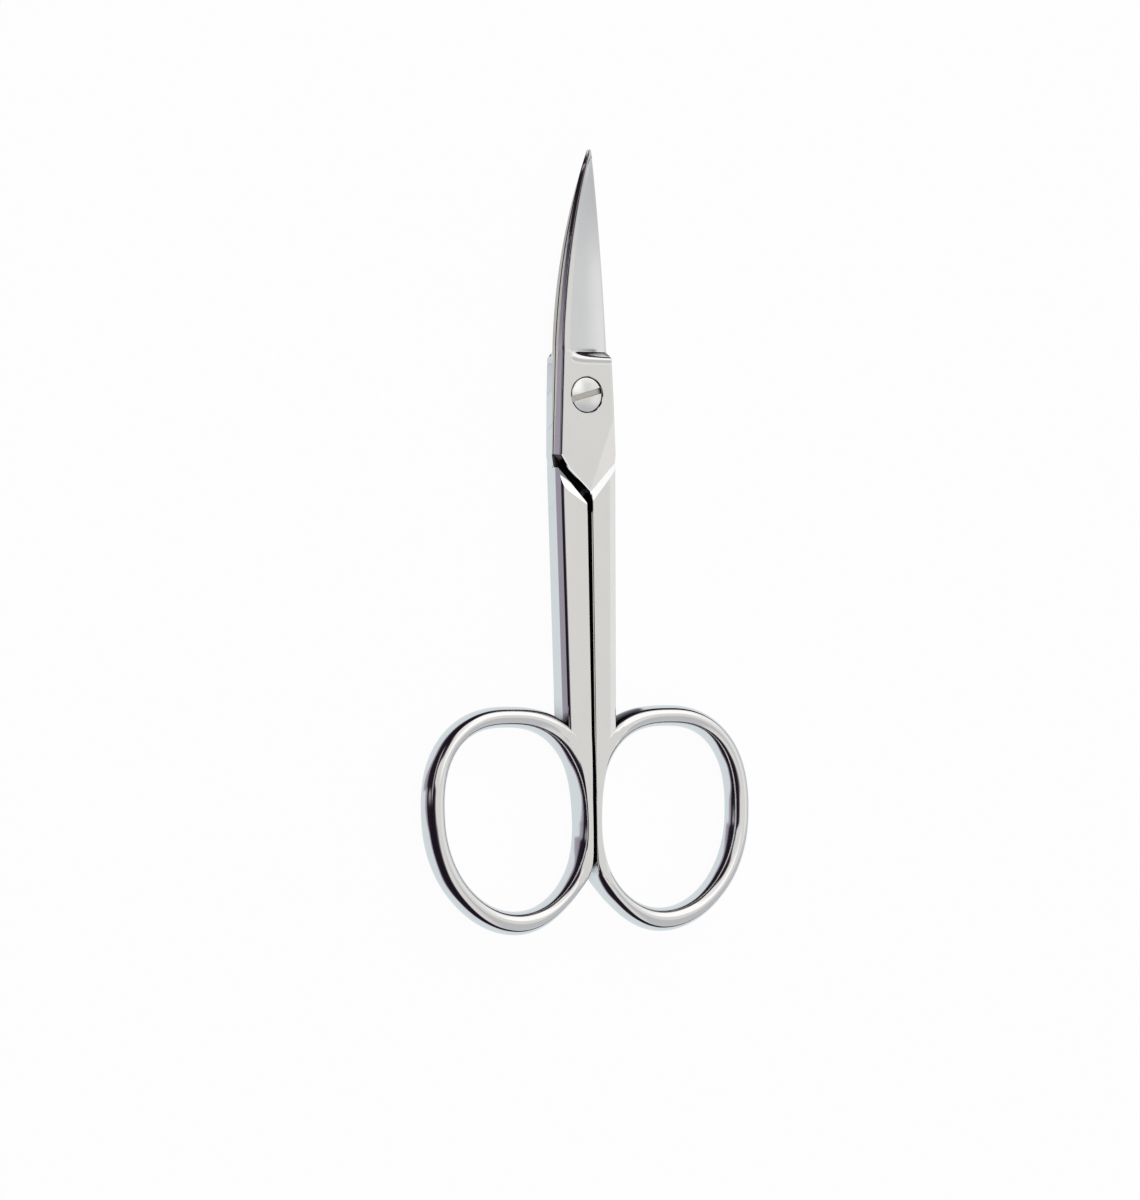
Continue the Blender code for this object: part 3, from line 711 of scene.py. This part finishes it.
def make_half(name, turn, bend, holes):
    """One forging from its shank, plate, blade and bow, with its holes."""
    half = shank(name)
    combine(half, nest_box("nest"), "DIFFERENCE")
    combine(half, step_space("step"), "DIFFERENCE")
    blade = plate_and_blade("blade", bend)
    trim_plate(blade)
    combine(half, blade, "UNION")
    combine(half, finger_bow("bow"), "UNION")
    for hole in holes:
        combine(half, bore("bore", *hole), "DIFFERENCE")
    half.data.transform(turn)
    bpy.ops.object.shade_smooth_by_angle(angle=SHARP_ANGLE)
    weighted = half.modifiers.new("weighted", "WEIGHTED_NORMAL")
    weighted.keep_sharp = True
    bpy.ops.object.modifier_apply(modifier=weighted.name)
    print(name, len(half.data.polygons), "faces")
    return half


facing_up = Matrix.Translation(PIVOT)
facing_down = facing_up @ Matrix.Rotation(math.pi, 4, "Y")
past = PLATE_THICK + OVERRUN
seat = PLATE_THICK - HEAD_THICK - SCREW_GAP
pin_hole = (PIN_RADIUS + SCREW_GAP, -past, past, past)
counterbore = (HEAD_RADIUS + SCREW_GAP, seat, past, PLATE_THICK)
thread_hole = (THREAD_RADIUS + SCREW_GAP, -past, past, PLATE_THICK)
front_half = make_half("front_forging", facing_up, 1, (pin_hole, counterbore))
rear_half = make_half("rear_forging", facing_down, -1, (thread_hole,))

# %% [markdown]
# The pivot screw is turned from bar: a slightly domed head with a rounded rim, a plain shank
# that the front half turns on, and the threaded end in the rear half. The thread is hidden in
# its hole. The slot was sawn, so its edges are left with a tiny bevel.

# %% Screw
HEAD_CROWN = 0.00012
HEAD_CHAMFER = 0.0002
DOME_POINTS = 16
SLOT_WIDTH = 0.0007
SLOT_DEPTH = 0.00045
SLOT_TURN = math.radians(15.5)
SLOT_BEVEL = 0.00003
THREAD_END_SHORT = 0.00005
BEVEL_ANGLE = math.radians(60)
SMOOTH_ANGLE = math.radians(35)


def pivot_screw(name, turn):
    """The slotted screw, standing in its holes with its head in the counterbore."""
    rim = HEAD_RADIUS - HEAD_CHAMFER
    outline = []
    for i in range(DOME_POINTS + 1):
        share = i / DOME_POINTS
        outline.append((rim * share, PLATE_THICK + HEAD_CROWN * (1 - share**2)))
    side_top = (HEAD_RADIUS, PLATE_THICK - HEAD_CHAMFER)
    rounding = curve_through((rim, PLATE_THICK), (HEAD_RADIUS, PLATE_THICK), side_top, FACE_POINTS)
    outline += rounding[1:]
    end = -PLATE_THICK + THREAD_END_SHORT
    outline += [
        (HEAD_RADIUS, PLATE_THICK - HEAD_THICK),
        (PIN_RADIUS, PLATE_THICK - HEAD_THICK),
        (PIN_RADIUS, LAP),
        (THREAD_RADIUS, -LAP),
        (THREAD_RADIUS, end + HEAD_CHAMFER),
        (THREAD_RADIUS - HEAD_CHAMFER, end),
        (0, end),
    ]
    screw = turned(name, outline)
    floor_level = PLATE_THICK + HEAD_CROWN - SLOT_DEPTH
    bpy.ops.object.select_all(action="DESELECT")
    bpy.ops.mesh.primitive_cube_add(size=1)
    saw = bpy.context.object
    saw.data.transform(
        Matrix.Translation((0, 0, floor_level + OVERRUN / 2))
        @ Matrix.Rotation(SLOT_TURN, 4, "Z")
        @ Matrix.Diagonal((HEAD_RADIUS * 2 + OVERRUN, SLOT_WIDTH, OVERRUN, 1))
    )
    combine(screw, saw, "DIFFERENCE")
    screw.data.transform(turn)
    bevel = screw.modifiers.new("slot edges", "BEVEL")
    bevel.width = SLOT_BEVEL
    bevel.segments = 2
    bevel.limit_method = "ANGLE"
    bevel.angle_limit = BEVEL_ANGLE
    bpy.ops.object.modifier_apply(modifier=bevel.name)
    bpy.ops.object.shade_smooth_by_angle(angle=SMOOTH_ANGLE)
    print(name, len(screw.data.polygons), "faces")
    return screw


screw = pivot_screw("slotted_screw", facing_up)

# %% [markdown]
# Shader sums read best as Python sums. A small class wraps a node's output and turns plus,
# minus, times and power into Math nodes, and every other node comes from one method. Masks
# are what a polished look needs most, so they have short names: above and below a level, and
# within a band.

# %% Node helper
class Wire:
    """The output of a node, on which sums can be written."""

    def __init__(self, tree, socket):
        self.tree = tree
        self.socket = socket

    def node(self, kind, settings=None, inputs=None, output=0):
        """Add a node with its settings and the values or links of its sockets."""
        made = self.tree.nodes.new(kind)
        for key, value in (settings or {}).items():
            if key == "stops":
                ramp = made.color_ramp
                while len(ramp.elements) < len(value):
                    ramp.elements.new(0.5)
                for element, (place, shade) in zip(ramp.elements, value):
                    element.position = place
                    element.color = (*shade, 1)
            else:
                setattr(made, key, value)
        for key, value in (inputs or {}).items():
            if isinstance(value, Wire):
                self.tree.links.new(value.socket, made.inputs[key])
            else:
                made.inputs[key].default_value = value
        return Wire(self.tree, made.outputs[output])

    def sum(self, operation, first, second):
        """A Math node with two values."""
        return self.node("ShaderNodeMath", {"operation": operation}, {0: first, 1: second})

    def __add__(self, other):
        return self.sum("ADD", self, other)

    def __radd__(self, other):
        return self.sum("ADD", other, self)

    def __sub__(self, other):
        return self.sum("SUBTRACT", self, other)

    def __rsub__(self, other):
        return self.sum("SUBTRACT", other, self)

    def __mul__(self, other):
        return self.sum("MULTIPLY", self, other)

    def __rmul__(self, other):
        return self.sum("MULTIPLY", other, self)

    def __truediv__(self, other):
        return self.sum("DIVIDE", self, other)

    def __pow__(self, other):
        return self.sum("POWER", self, other)

    def __neg__(self):
        return self.sum("MULTIPLY", self, -1.0)

    def __abs__(self):
        return self.node("ShaderNodeMath", {"operation": "ABSOLUTE"}, {0: self})

    def axes(self):
        """The X, Y and Z of a place or a direction."""
        split = self.node("ShaderNodeSeparateXYZ", {}, {0: self})
        return [Wire(self.tree, axis) for axis in split.socket.node.outputs]

    def above(self, low, high):
        """0 below low, 1 above high and smooth between them."""
        settings = {"interpolation_type": "SMOOTHSTEP"}
        inputs = {"Value": self, "From Min": low, "From Max": high}
        return self.node("ShaderNodeMapRange", settings, inputs)

    def below(self, low, high):
        """1 below low, 0 above high and smooth between them."""
        return 1 - self.above(low, high)

    def within(self, start, full, fading, end):
        """1 from full to fading, 0 before start and past end."""
        return self.above(start, full) * self.below(fading, end)

    def mix(self, first, second):
        """A mix of two colours, with this value as its factor."""
        inputs = {"Factor": self, "A": first, "B": second}
        return self.node("ShaderNodeMix", {"data_type": "RGBA"}, inputs, 2)

    def drive(self, socket):
        """Link this value to a socket of a node that is already there."""
        self.tree.links.new(self.socket, socket)


def new_steel(name):
    """A fully metallic material, with its shader and a first wire to build on."""
    material = bpy.data.materials.new(name)
    material.use_nodes = True
    shader = material.node_tree.nodes["Principled BSDF"]
    shader.inputs["Metallic"].default_value = 1.0
    return material, shader, Wire(material.node_tree, None)

# %% [markdown]
# The forgings are nickel-plated and polished to a mirror. A perfect mirror looks like plastic
# foil, though: real plating shows hair-fine polishing lines, a few stray scratches, and dull
# smudges where it was held. The lines run along the shanks, round the bows, and across the
# ground blades. All of them are noise that is stretched along the line's direction.

# %% Polishing lines and scratches
LINE_SCALE = 9000.0
LINE_STRETCH = 90.0
GROUND_STRETCH = 120.0
BOW_TURN_SCALE = 2.0
BOW_START = (-0.0245, -0.0195)
SCRATCH_TURN = (0.3, 0.2, 0.5)
SCRATCH_SCALES = (5200.0, 120.0, 300.0)


def streaks(x, y, z, detail=2.0):
    """Noise that is stretched by the scales that its three inputs were given."""
    where = x.node("ShaderNodeCombineXYZ", {}, {0: x, 1: y, 2: z})
    inputs = {"Vector": where, "Scale": 1.0, "Detail": detail, "Roughness": 0.6}
    return where.node("ShaderNodeTexNoise", {}, inputs)


def polishing_lines(x, y, z, on_blade):
    """Lines along the shanks, round the finger holes and across the ground blades."""
    along = streaks(x * LINE_SCALE, y * LINE_STRETCH, z * LINE_SCALE)
    from_hole = (abs(x) - HOLE_CENTRE.x) / HOLE_HALF_WIDTH
    down_hole = (y - (PIVOT.y + HOLE_CENTRE.y)) / HOLE_HALF_LENGTH
    radius = (from_hole * from_hole + down_hole * down_hole) ** 0.5
    turn = x.sum("ARCTAN2", down_hole, from_hole)
    round_bow = streaks(radius * LINE_STRETCH, turn * BOW_TURN_SCALE, z * LINE_SCALE)
    across = streaks(x * GROUND_STRETCH, y * LINE_SCALE, z * GROUND_STRETCH)
    on_bow = y.below(*BOW_START)
    return along + on_bow * (round_bow - along) + on_blade * (across - along)


def scratches(place, z):
    """A few stray hair-fine scratches, askew to the polishing lines."""
    askew = place.node("ShaderNodeMapping", {}, {"Vector": place, "Rotation": SCRATCH_TURN})
    along, across, _ = askew.axes()
    scales = SCRATCH_SCALES
    noise = streaks(along * scales[0], across * scales[1], z * scales[2], detail=0.0)
    return noise.above(0.76, 0.80)

# %% [markdown]
# Where hardly any light gets in, the steel is given painted shade: a near-black colour round
# the joint, in the V step, at the plate's point, behind the lip, on the ground blade next to the
# other half and in the crotches of the bows. Ambient Occlusion measures how closed in a point is,
# but it can't tell a narrow gap from a wide corner, so each place also has its own rows of the
# part, counted from the pivot towards the tip. The V step's bevels get a painted highlight instead.

# %% Painted shade in the gaps and painted highlight on the V bevels
GAP_REACH = 0.0025
GAP_SAMPLES = 16
JOINT_SIDE = (0.0031, 0.0036)
JOINT_TOP = (0.0030, 0.0040)
VEE_ROWS = (-0.0140, -0.0128, -0.0067, -0.0065)
VEE_SIDE = (0.0035, 0.0036)
VEE_WALL_LEVEL = (0.00135, 0.00145)
POINT_ROWS = (-0.0136, -0.0132, -0.0116, -0.0112)
POINT_SIDE = (0.0003, 0.0005)
LIP_ROWS = (HEEL_REACH - 0.0002, HEEL_REACH, LIP_FOOT + 0.0001, LIP_FOOT + 0.0005)
LIP_LEVEL = (0.0003, 0.0005)
GROUND_START = (LIP_FOOT + 0.0003, LIP_FOOT + 0.0008)
GROUND_SHARE = 0.22
CROTCH_ROWS = (-0.0400, -0.0385, -0.0352, -0.0348)
CROTCH_SIDE = (0.0048, 0.0068)
CROTCH_SHARE = 0.9
RIGHT_CROTCH_START = (-0.0400, -0.0385)
RIGHT_CROTCH_SIDES = (0.0028, 0.0030, 0.0064, 0.0076)


def painted_light_masks(start, x, y, z):
    """Two masks: the painted highlight on the V bevels, and the painted shade in the gaps."""
    _, tip_facing, up_facing = start.node("ShaderNodeTexCoord", output="Normal").axes()
    settings = {"samples": GAP_SAMPLES}
    open_sky = start.node("ShaderNodeAmbientOcclusion", settings, {"Distance": GAP_REACH}, "AO")
    reach = y - PIVOT.y
    side = abs(x)
    level = abs(z - PIVOT.z)
    slant = abs(tip_facing)
    vee = reach.within(*VEE_ROWS)
    bright = vee * slant.above(0.15, 0.22) * up_facing.above(0.5, 0.7)

    joint = side.below(*JOINT_SIDE) * reach.below(*JOINT_TOP) * open_sky.below(0.08, 0.30)
    vee_foot = vee * side.below(*VEE_SIDE) * open_sky.below(0.38, 0.82)
    vee_wall = vee * level.below(*VEE_WALL_LEVEL) * slant.above(0.25, 0.4)
    point = reach.within(*POINT_ROWS) * side.below(*POINT_SIDE)
    lip = reach.within(*LIP_ROWS) * level.above(*LIP_LEVEL) * open_sky.below(0.72, 1.0)
    ground = reach.above(*GROUND_START) * up_facing.above(0.7, 0.9) * open_sky.below(0.55, 0.95)
    crotch = reach.within(*CROTCH_ROWS) * side.below(*CROTCH_SIDE)
    crotch = crotch * tip_facing.above(0.3, 0.6) * open_sky.below(0.60, 0.95)
    right_wall = reach.above(*RIGHT_CROTCH_START) * x.within(*RIGHT_CROTCH_SIDES)
    right_wall = right_wall * tip_facing.above(0.3, 0.5) * up_facing.below(0.45, 0.60)
    painted_shade = joint + vee_foot + vee_wall + point + lip + right_wall
    painted_shade = painted_shade + ground * GROUND_SHARE + crotch * CROTCH_SHARE
    return bright, painted_shade.above(0.0, 1.0)

# %% [markdown]
# Now the two forgings get their finish. Lines, smudges and scratches change the roughness and
# the bump by very little each, as on the real plating: more of any would look like brushed
# steel. The colour is that of nickel, a trace warmer than silver.

# %% Polished steel
STEEL = (0.80, 0.79, 0.775)
SMUDGE_TINT = (0.95, 0.95, 0.96)
# Nearly white colour of the painted highlight on the V step's bevels.
PAINTED_HIGHLIGHT_COLOUR = (0.99, 0.99, 0.99, 1)
# Near-black colour of the painted shade in the gaps.
PAINTED_SHADE_COLOUR = (0.03, 0.025, 0.03, 1)
SMUDGE_SCALE = 180.0
STEEL_ROUGHNESS = 0.05
BLADE_START = (PIVOT.y + LIP_FOOT - 0.0001, PIVOT.y + LIP_FOOT + 0.0002)
LINE_RELIEF = 0.00001


def polished_steel(name, colour, roughness):
    """Plated steel with polishing lines, scratches, smudges, painted shade in the gaps and a painted
    highlight on the V bevels.
    """
    material, shader, start = new_steel(name)
    place = start.node("ShaderNodeTexCoord", output="Object")
    x, y, z = place.axes()
    on_blade = y.above(*BLADE_START)
    fine = polishing_lines(x, y, z, on_blade)
    scratch = scratches(place, z)
    inputs = {"Vector": place, "Scale": SMUDGE_SCALE, "Detail": 4.0, "Roughness": 0.55}
    smudge = start.node("ShaderNodeTexNoise", {}, inputs).above(0.45, 0.75)
    rough = roughness + fine * 0.05 + smudge * 0.05 + scratch * 0.12 + on_blade * 0.05
    rough.drive(shader.inputs["Roughness"])
    held = [part * tint for part, tint in zip(colour, SMUDGE_TINT)]
    tone = (smudge * 0.5 + fine * 0.25).mix((*colour, 1), (*held, 1))
    bright, painted_shade = painted_light_masks(start, x, y, z)
    # Base colour: nearly white painted highlight on the V bevels, near-black painted shade in the gaps.
    painted_shade.mix(bright.mix(tone, PAINTED_HIGHLIGHT_COLOUR), PAINTED_SHADE_COLOUR).drive(shader.inputs["Base Color"])
    inputs = {"Strength": 0.06, "Distance": LINE_RELIEF, "Height": fine - scratch * 0.5}
    start.node("ShaderNodeBump", {}, inputs).drive(shader.inputs["Normal"])
    print(name, len(material.node_tree.nodes), "nodes")
    return material


def dress(piece, material):
    """Give a piece its one material."""
    piece.data.materials.clear()
    piece.data.materials.append(material)


dress(front_half, polished_steel("front steel", STEEL, STEEL_ROUGHNESS))
dress(rear_half, polished_steel("rear steel", STEEL, STEEL_ROUGHNESS))

# %% [markdown]
# The screw was faced on a lathe. The tool leaves fine rings round its axis, which spread the
# reflection into the two bright wedges that every turned face shows. The slot was cut after
# that by a saw, so its floor is rougher than the head, and its colour is set darker.

# %% Turned steel
SCREW_STEEL = (0.78, 0.78, 0.77)
SCREW_ROUGHNESS = 0.08
SLOT_FLOOR_COLOUR = (0.52, 0.49, 0.45, 1)
RING_SCALE = 14000.0
SPOT_SCALE = 900.0
SLOT_LEVEL = PIVOT.z + PLATE_THICK + HEAD_CROWN - SLOT_DEPTH


def turned_steel(name, colour, roughness):
    """Steel with the fine rings that a lathe tool leaves, and a sawn slot."""
    material, shader, start = new_steel(name)
    place = start.node("ShaderNodeTexCoord", output="Object")
    centred = start.node("ShaderNodeMapping", {}, {"Vector": place, "Location": (0, -PIVOT.y, 0)})
    x, y, z = centred.axes()
    radius = (x * x + y * y) ** 0.5
    where = start.node("ShaderNodeCombineXYZ", {}, {0: radius * RING_SCALE, 1: 0.0, 2: 0.0})
    rings = start.node("ShaderNodeTexNoise", {}, {"Vector": where, "Scale": 1.0, "Detail": 2.0})
    inputs = {"Vector": place, "Scale": SPOT_SCALE, "Detail": 3.0}
    spots = start.node("ShaderNodeTexNoise", {}, inputs)
    from_slot = abs(y * math.cos(SLOT_TURN) - x * math.sin(SLOT_TURN))
    sawn = from_slot.below(SLOT_WIDTH * 0.5, SLOT_WIDTH * 0.54)
    sawn = sawn * z.below(SLOT_LEVEL + 0.0002, SLOT_LEVEL + 0.0003)
    rough = roughness + rings * 0.08 + spots.above(0.5, 0.7) * 0.06 + sawn * 0.25
    rough.drive(shader.inputs["Roughness"])
    inputs = {"Strength": 0.12, "Distance": LINE_RELIEF, "Height": rings}
    start.node("ShaderNodeBump", {}, inputs).drive(shader.inputs["Normal"])
    spotted = (*[part * 0.93 for part in colour], 1)
    tone = spots.above(0.4, 0.8).mix((*colour, 1), spotted)
    sawn.mix(tone, SLOT_FLOOR_COLOUR).drive(shader.inputs["Base Color"])
    print(name, len(material.node_tree.nodes), "nodes")
    return material


dress(screw, turned_steel("screw steel", SCREW_STEEL, SCREW_ROUGHNESS))

# %% [markdown]
# Each new piece now rides on the body that its node belongs to, and the node is hidden.

# %% Place in the frame
for piece, node, body in (
    (front_half, "front_half", "front"),
    (rear_half, "rear_half", "rear"),
    (screw, "pivot_screw", "rear"),
):
    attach(piece, body)
    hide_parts(node)
    print(piece.name, "rides on", body)

# %% [markdown]
# The floor is pale paper that the camera sees white, with a trace of the scissors' soft shadow.
# In the metal the paper would mirror as one flat tone, so the metal looks through it to the
# studio below, and meets it only where the scissors cover it, as painted shade: a near-black
# glow. In the narrow slit between the shanks hardly any light gets down to the paper, so the
# camera sees the same painted shade there, in place of the lit paper.

# %% Floor
FLOOR_SIZE = 2.0
PAPER = (0.95, 0.95, 0.95, 1)
UNLIT = (0.02, 0.015, 0.02, 1)
CAMERA_GLOW = 0.96
COVER_REACH = 0.004
COVER_SAMPLES = 8
SLIT_SIDE = (0.0004, 0.0007)
SLIT_TOP = (PIVOT.y - 0.0100, PIVOT.y - 0.0095)
SLIT_BOTTOM = (PIVOT.y - 0.0530, PIVOT.y - 0.0520)
NOTCH_START = (PIVOT.y - 0.0135, PIVOT.y - 0.0125)
NOTCH_EXTRA = 0.0012

bpy.ops.object.select_all(action="DESELECT")
bpy.ops.mesh.primitive_plane_add(size=FLOOR_SIZE)
floor = bpy.context.object
floor.name = "floor"
paper = bpy.data.materials.new("paper")
paper.use_nodes = True
tree = paper.node_tree
paper_shader = tree.nodes["Principled BSDF"]
paper_shader.inputs["Base Color"].default_value = PAPER
paper_shader.inputs["Roughness"].default_value = 0.9
sheet = Wire(tree, paper_shader.outputs[0])
glow = sheet.node("ShaderNodeEmission", {}, {"Color": (1, 1, 1, 1), "Strength": 1.0})
dark = sheet.node("ShaderNodeEmission", {}, {"Color": UNLIT, "Strength": 1.0})
clear = sheet.node("ShaderNodeBsdfTransparent", {}, {})
to_camera = sheet.node("ShaderNodeLightPath", output="Is Camera Ray")
to_metal = sheet.node("ShaderNodeLightPath", output="Is Glossy Ray")
settings = {"samples": COVER_SAMPLES}
covered = sheet.node("ShaderNodeAmbientOcclusion", settings, {"Distance": COVER_REACH}, "AO")
x, y, _ = sheet.node("ShaderNodeTexCoord", output="Object").axes()
from_parting = abs(x) - y.above(*NOTCH_START) * NOTCH_EXTRA
in_slit = from_parting.below(*SLIT_SIDE) * y.below(*SLIT_TOP) * y.above(*SLIT_BOTTOM)
# Painted shade for the camera: near-black glow on the covered paper in the slit.
hidden = in_slit * covered.below(0.25, 0.45)
plain = sheet.node("ShaderNodeMixShader", {}, {0: to_camera * CAMERA_GLOW, 1: sheet, 2: glow})
white = sheet.node("ShaderNodeMixShader", {}, {0: hidden, 1: plain, 2: dark})
# Painted shade for the metal: the covered paper mirrors as a near-black glow.
mirrored = sheet.node("ShaderNodeMixShader", {}, {0: covered.above(0.12, 0.35), 1: dark, 2: clear})
look = sheet.node("ShaderNodeMixShader", {}, {0: to_metal, 1: white, 2: mirrored})
look.drive(tree.nodes["Material Output"].inputs["Surface"])
floor.data.materials.append(paper)
print("floor of", FLOOR_SIZE, "m with", len(tree.nodes), "nodes")

# %% [markdown]
# Polished metal is lit by what it mirrors. The photographer's studio is white above and below,
# with a dark gap round the horizon that is widest on the left. The world paints that gap from
# the ray's direction: its height over the horizon, measured against the gap's width there.

# %% The studio's dark gap
NIGHT = (0.012, 0.008, 0.014)
DUSK = (0.02, 0.014, 0.022)
CEILING = (0.82, 0.82, 0.81)

world = bpy.data.worlds.new("studio")
bpy.context.scene.world = world
world.use_nodes = True
tree = world.node_tree
start = Wire(tree, None)
x, y, z = start.node("ShaderNodeTexCoord", output="Generated").axes()


def ramp(factor, stops):
    """A colour ramp."""
    return start.node("ShaderNodeValToRGB", {"stops": stops}, {0: factor})


across_floor = (x * x + y * y) ** 0.5 + 0.0001
leftwards = -x / across_floor
tipwards = y / across_floor
gap = ramp(leftwards * 0.5 + 0.5, (
    (0.0, (0.05, 0.05, 0.05)),
    (0.25, (0.12, 0.12, 0.12)),
    (0.5, (0.26, 0.26, 0.26)),
    (0.75, (0.55, 0.55, 0.55)),
    (1.0, (0.70, 0.70, 0.70)),
))
tip_side = tipwards.above(0.3, 1.0) * leftwards.below(0.2, 1.0)
bow_side = (-tipwards).above(0.0, 0.25) * leftwards.above(0.6, 0.9)
tip_left = tipwards.above(0.18, 0.28) * leftwards.above(0.7, 0.9)
gap_above = gap + tip_side * 0.14 + bow_side * 0.15 - tip_left * 0.38
gap_below = gap + tip_side * 0.12 - bow_side * 0.15 + tip_left * 0.10
upper = ramp(z / gap_above * 0.7, (
    (0.0, NIGHT),
    (0.55, DUSK),
    (0.70, (0.30, 0.27, 0.30)),
    (0.80, CEILING),
))
lower = ramp(-z / gap_below * 0.7, (
    (0.0, NIGHT),
    (0.66, DUSK),
    (0.735, (0.36, 0.33, 0.41)),
    (0.80, (0.40, 0.37, 0.45)),
    (0.86, (0.78, 0.85, 0.90)),
))
print("gap painted with", len(tree.nodes), "nodes")

# %% [markdown]
# The flat faces mirror the ceiling over the gap, so its tone is theirs. Two bright screens hang
# beside it, for the white lines along the rims, the rolled lip and the hollow of the blades.
# Masks on the direction draw them, with soft borders as a lamp behind cloth has.

# %% The studio's ceiling and screens
ceiling = ramp(x, (
    (0.54, CEILING),
    (0.60, (0.95, 0.95, 0.94)),
    (0.78, (0.92, 0.93, 0.94)),
    (0.88, (0.74, 0.77, 0.78)),
))
shaded = (-y).above(0.03, 0.14).mix(ceiling, (0.60, 0.61, 0.64, 1))
roof = (z.above(0.10, 0.30) * x.above(0.0, 0.3)).mix(upper, shaded)
screen = y.above(0.05, 0.13) * z.above(0.35, 0.55) * x.within(-0.30, -0.05, 0.38, 0.48)
tip_screen = y.above(0.20, 0.34) * z.above(0.26, 0.34) * x.within(-0.50, -0.25, 0.60, 0.75)
glint = x.above(0.60, 0.70) * y.above(0.34, 0.44) * z.within(0.16, 0.24, 0.50, 0.60)
bright = start.sum("MAXIMUM", start.sum("MAXIMUM", screen, tip_screen), glint * 0.5)
lit = bright.mix(roof, (1.0, 1.0, 1.0, 1))
strength = 1.0 + bright * (x.above(0.02, 0.08) * 0.27 - 0.02)

# %% [markdown]
# Two grey walls stand on the left, one under the horizon and one at its height. Steep sides
# that would mirror pure black or white there turn grey, as steel does in a real room. The
# camera itself sees plain white, like the paper.

# %% The studio's walls and the finished world
low_wall = (-z).within(0.18, 0.28, 0.48, 0.58)
low_wall = low_wall * leftwards.above(0.80, 0.88) * tipwards.within(0.0, 0.12, 0.14, 0.22)
far_wall = abs(z).below(0.06, 0.13) * leftwards.above(0.6, 0.8) * tipwards.above(0.0, 0.15)
walled = low_wall.mix(lower, (0.34, 0.31, 0.36, 1))
sky = z.above(-0.02, 0.02).mix(walled, lit)
sky = far_wall.mix(sky, (0.40, 0.37, 0.41, 1))
camera_ray = start.node("ShaderNodeLightPath", output="Is Camera Ray")
power = camera_ray + (1 - camera_ray) * (1 + (strength - 1) * z.above(0.0, 0.1))
background = tree.nodes["Background"]
camera_ray.mix(sky, (1, 1, 1, 1)).drive(background.inputs["Color"])
power.drive(background.inputs["Strength"])
bpy.context.scene.view_settings.view_transform = "Standard"
print("studio with", len(tree.nodes), "nodes")
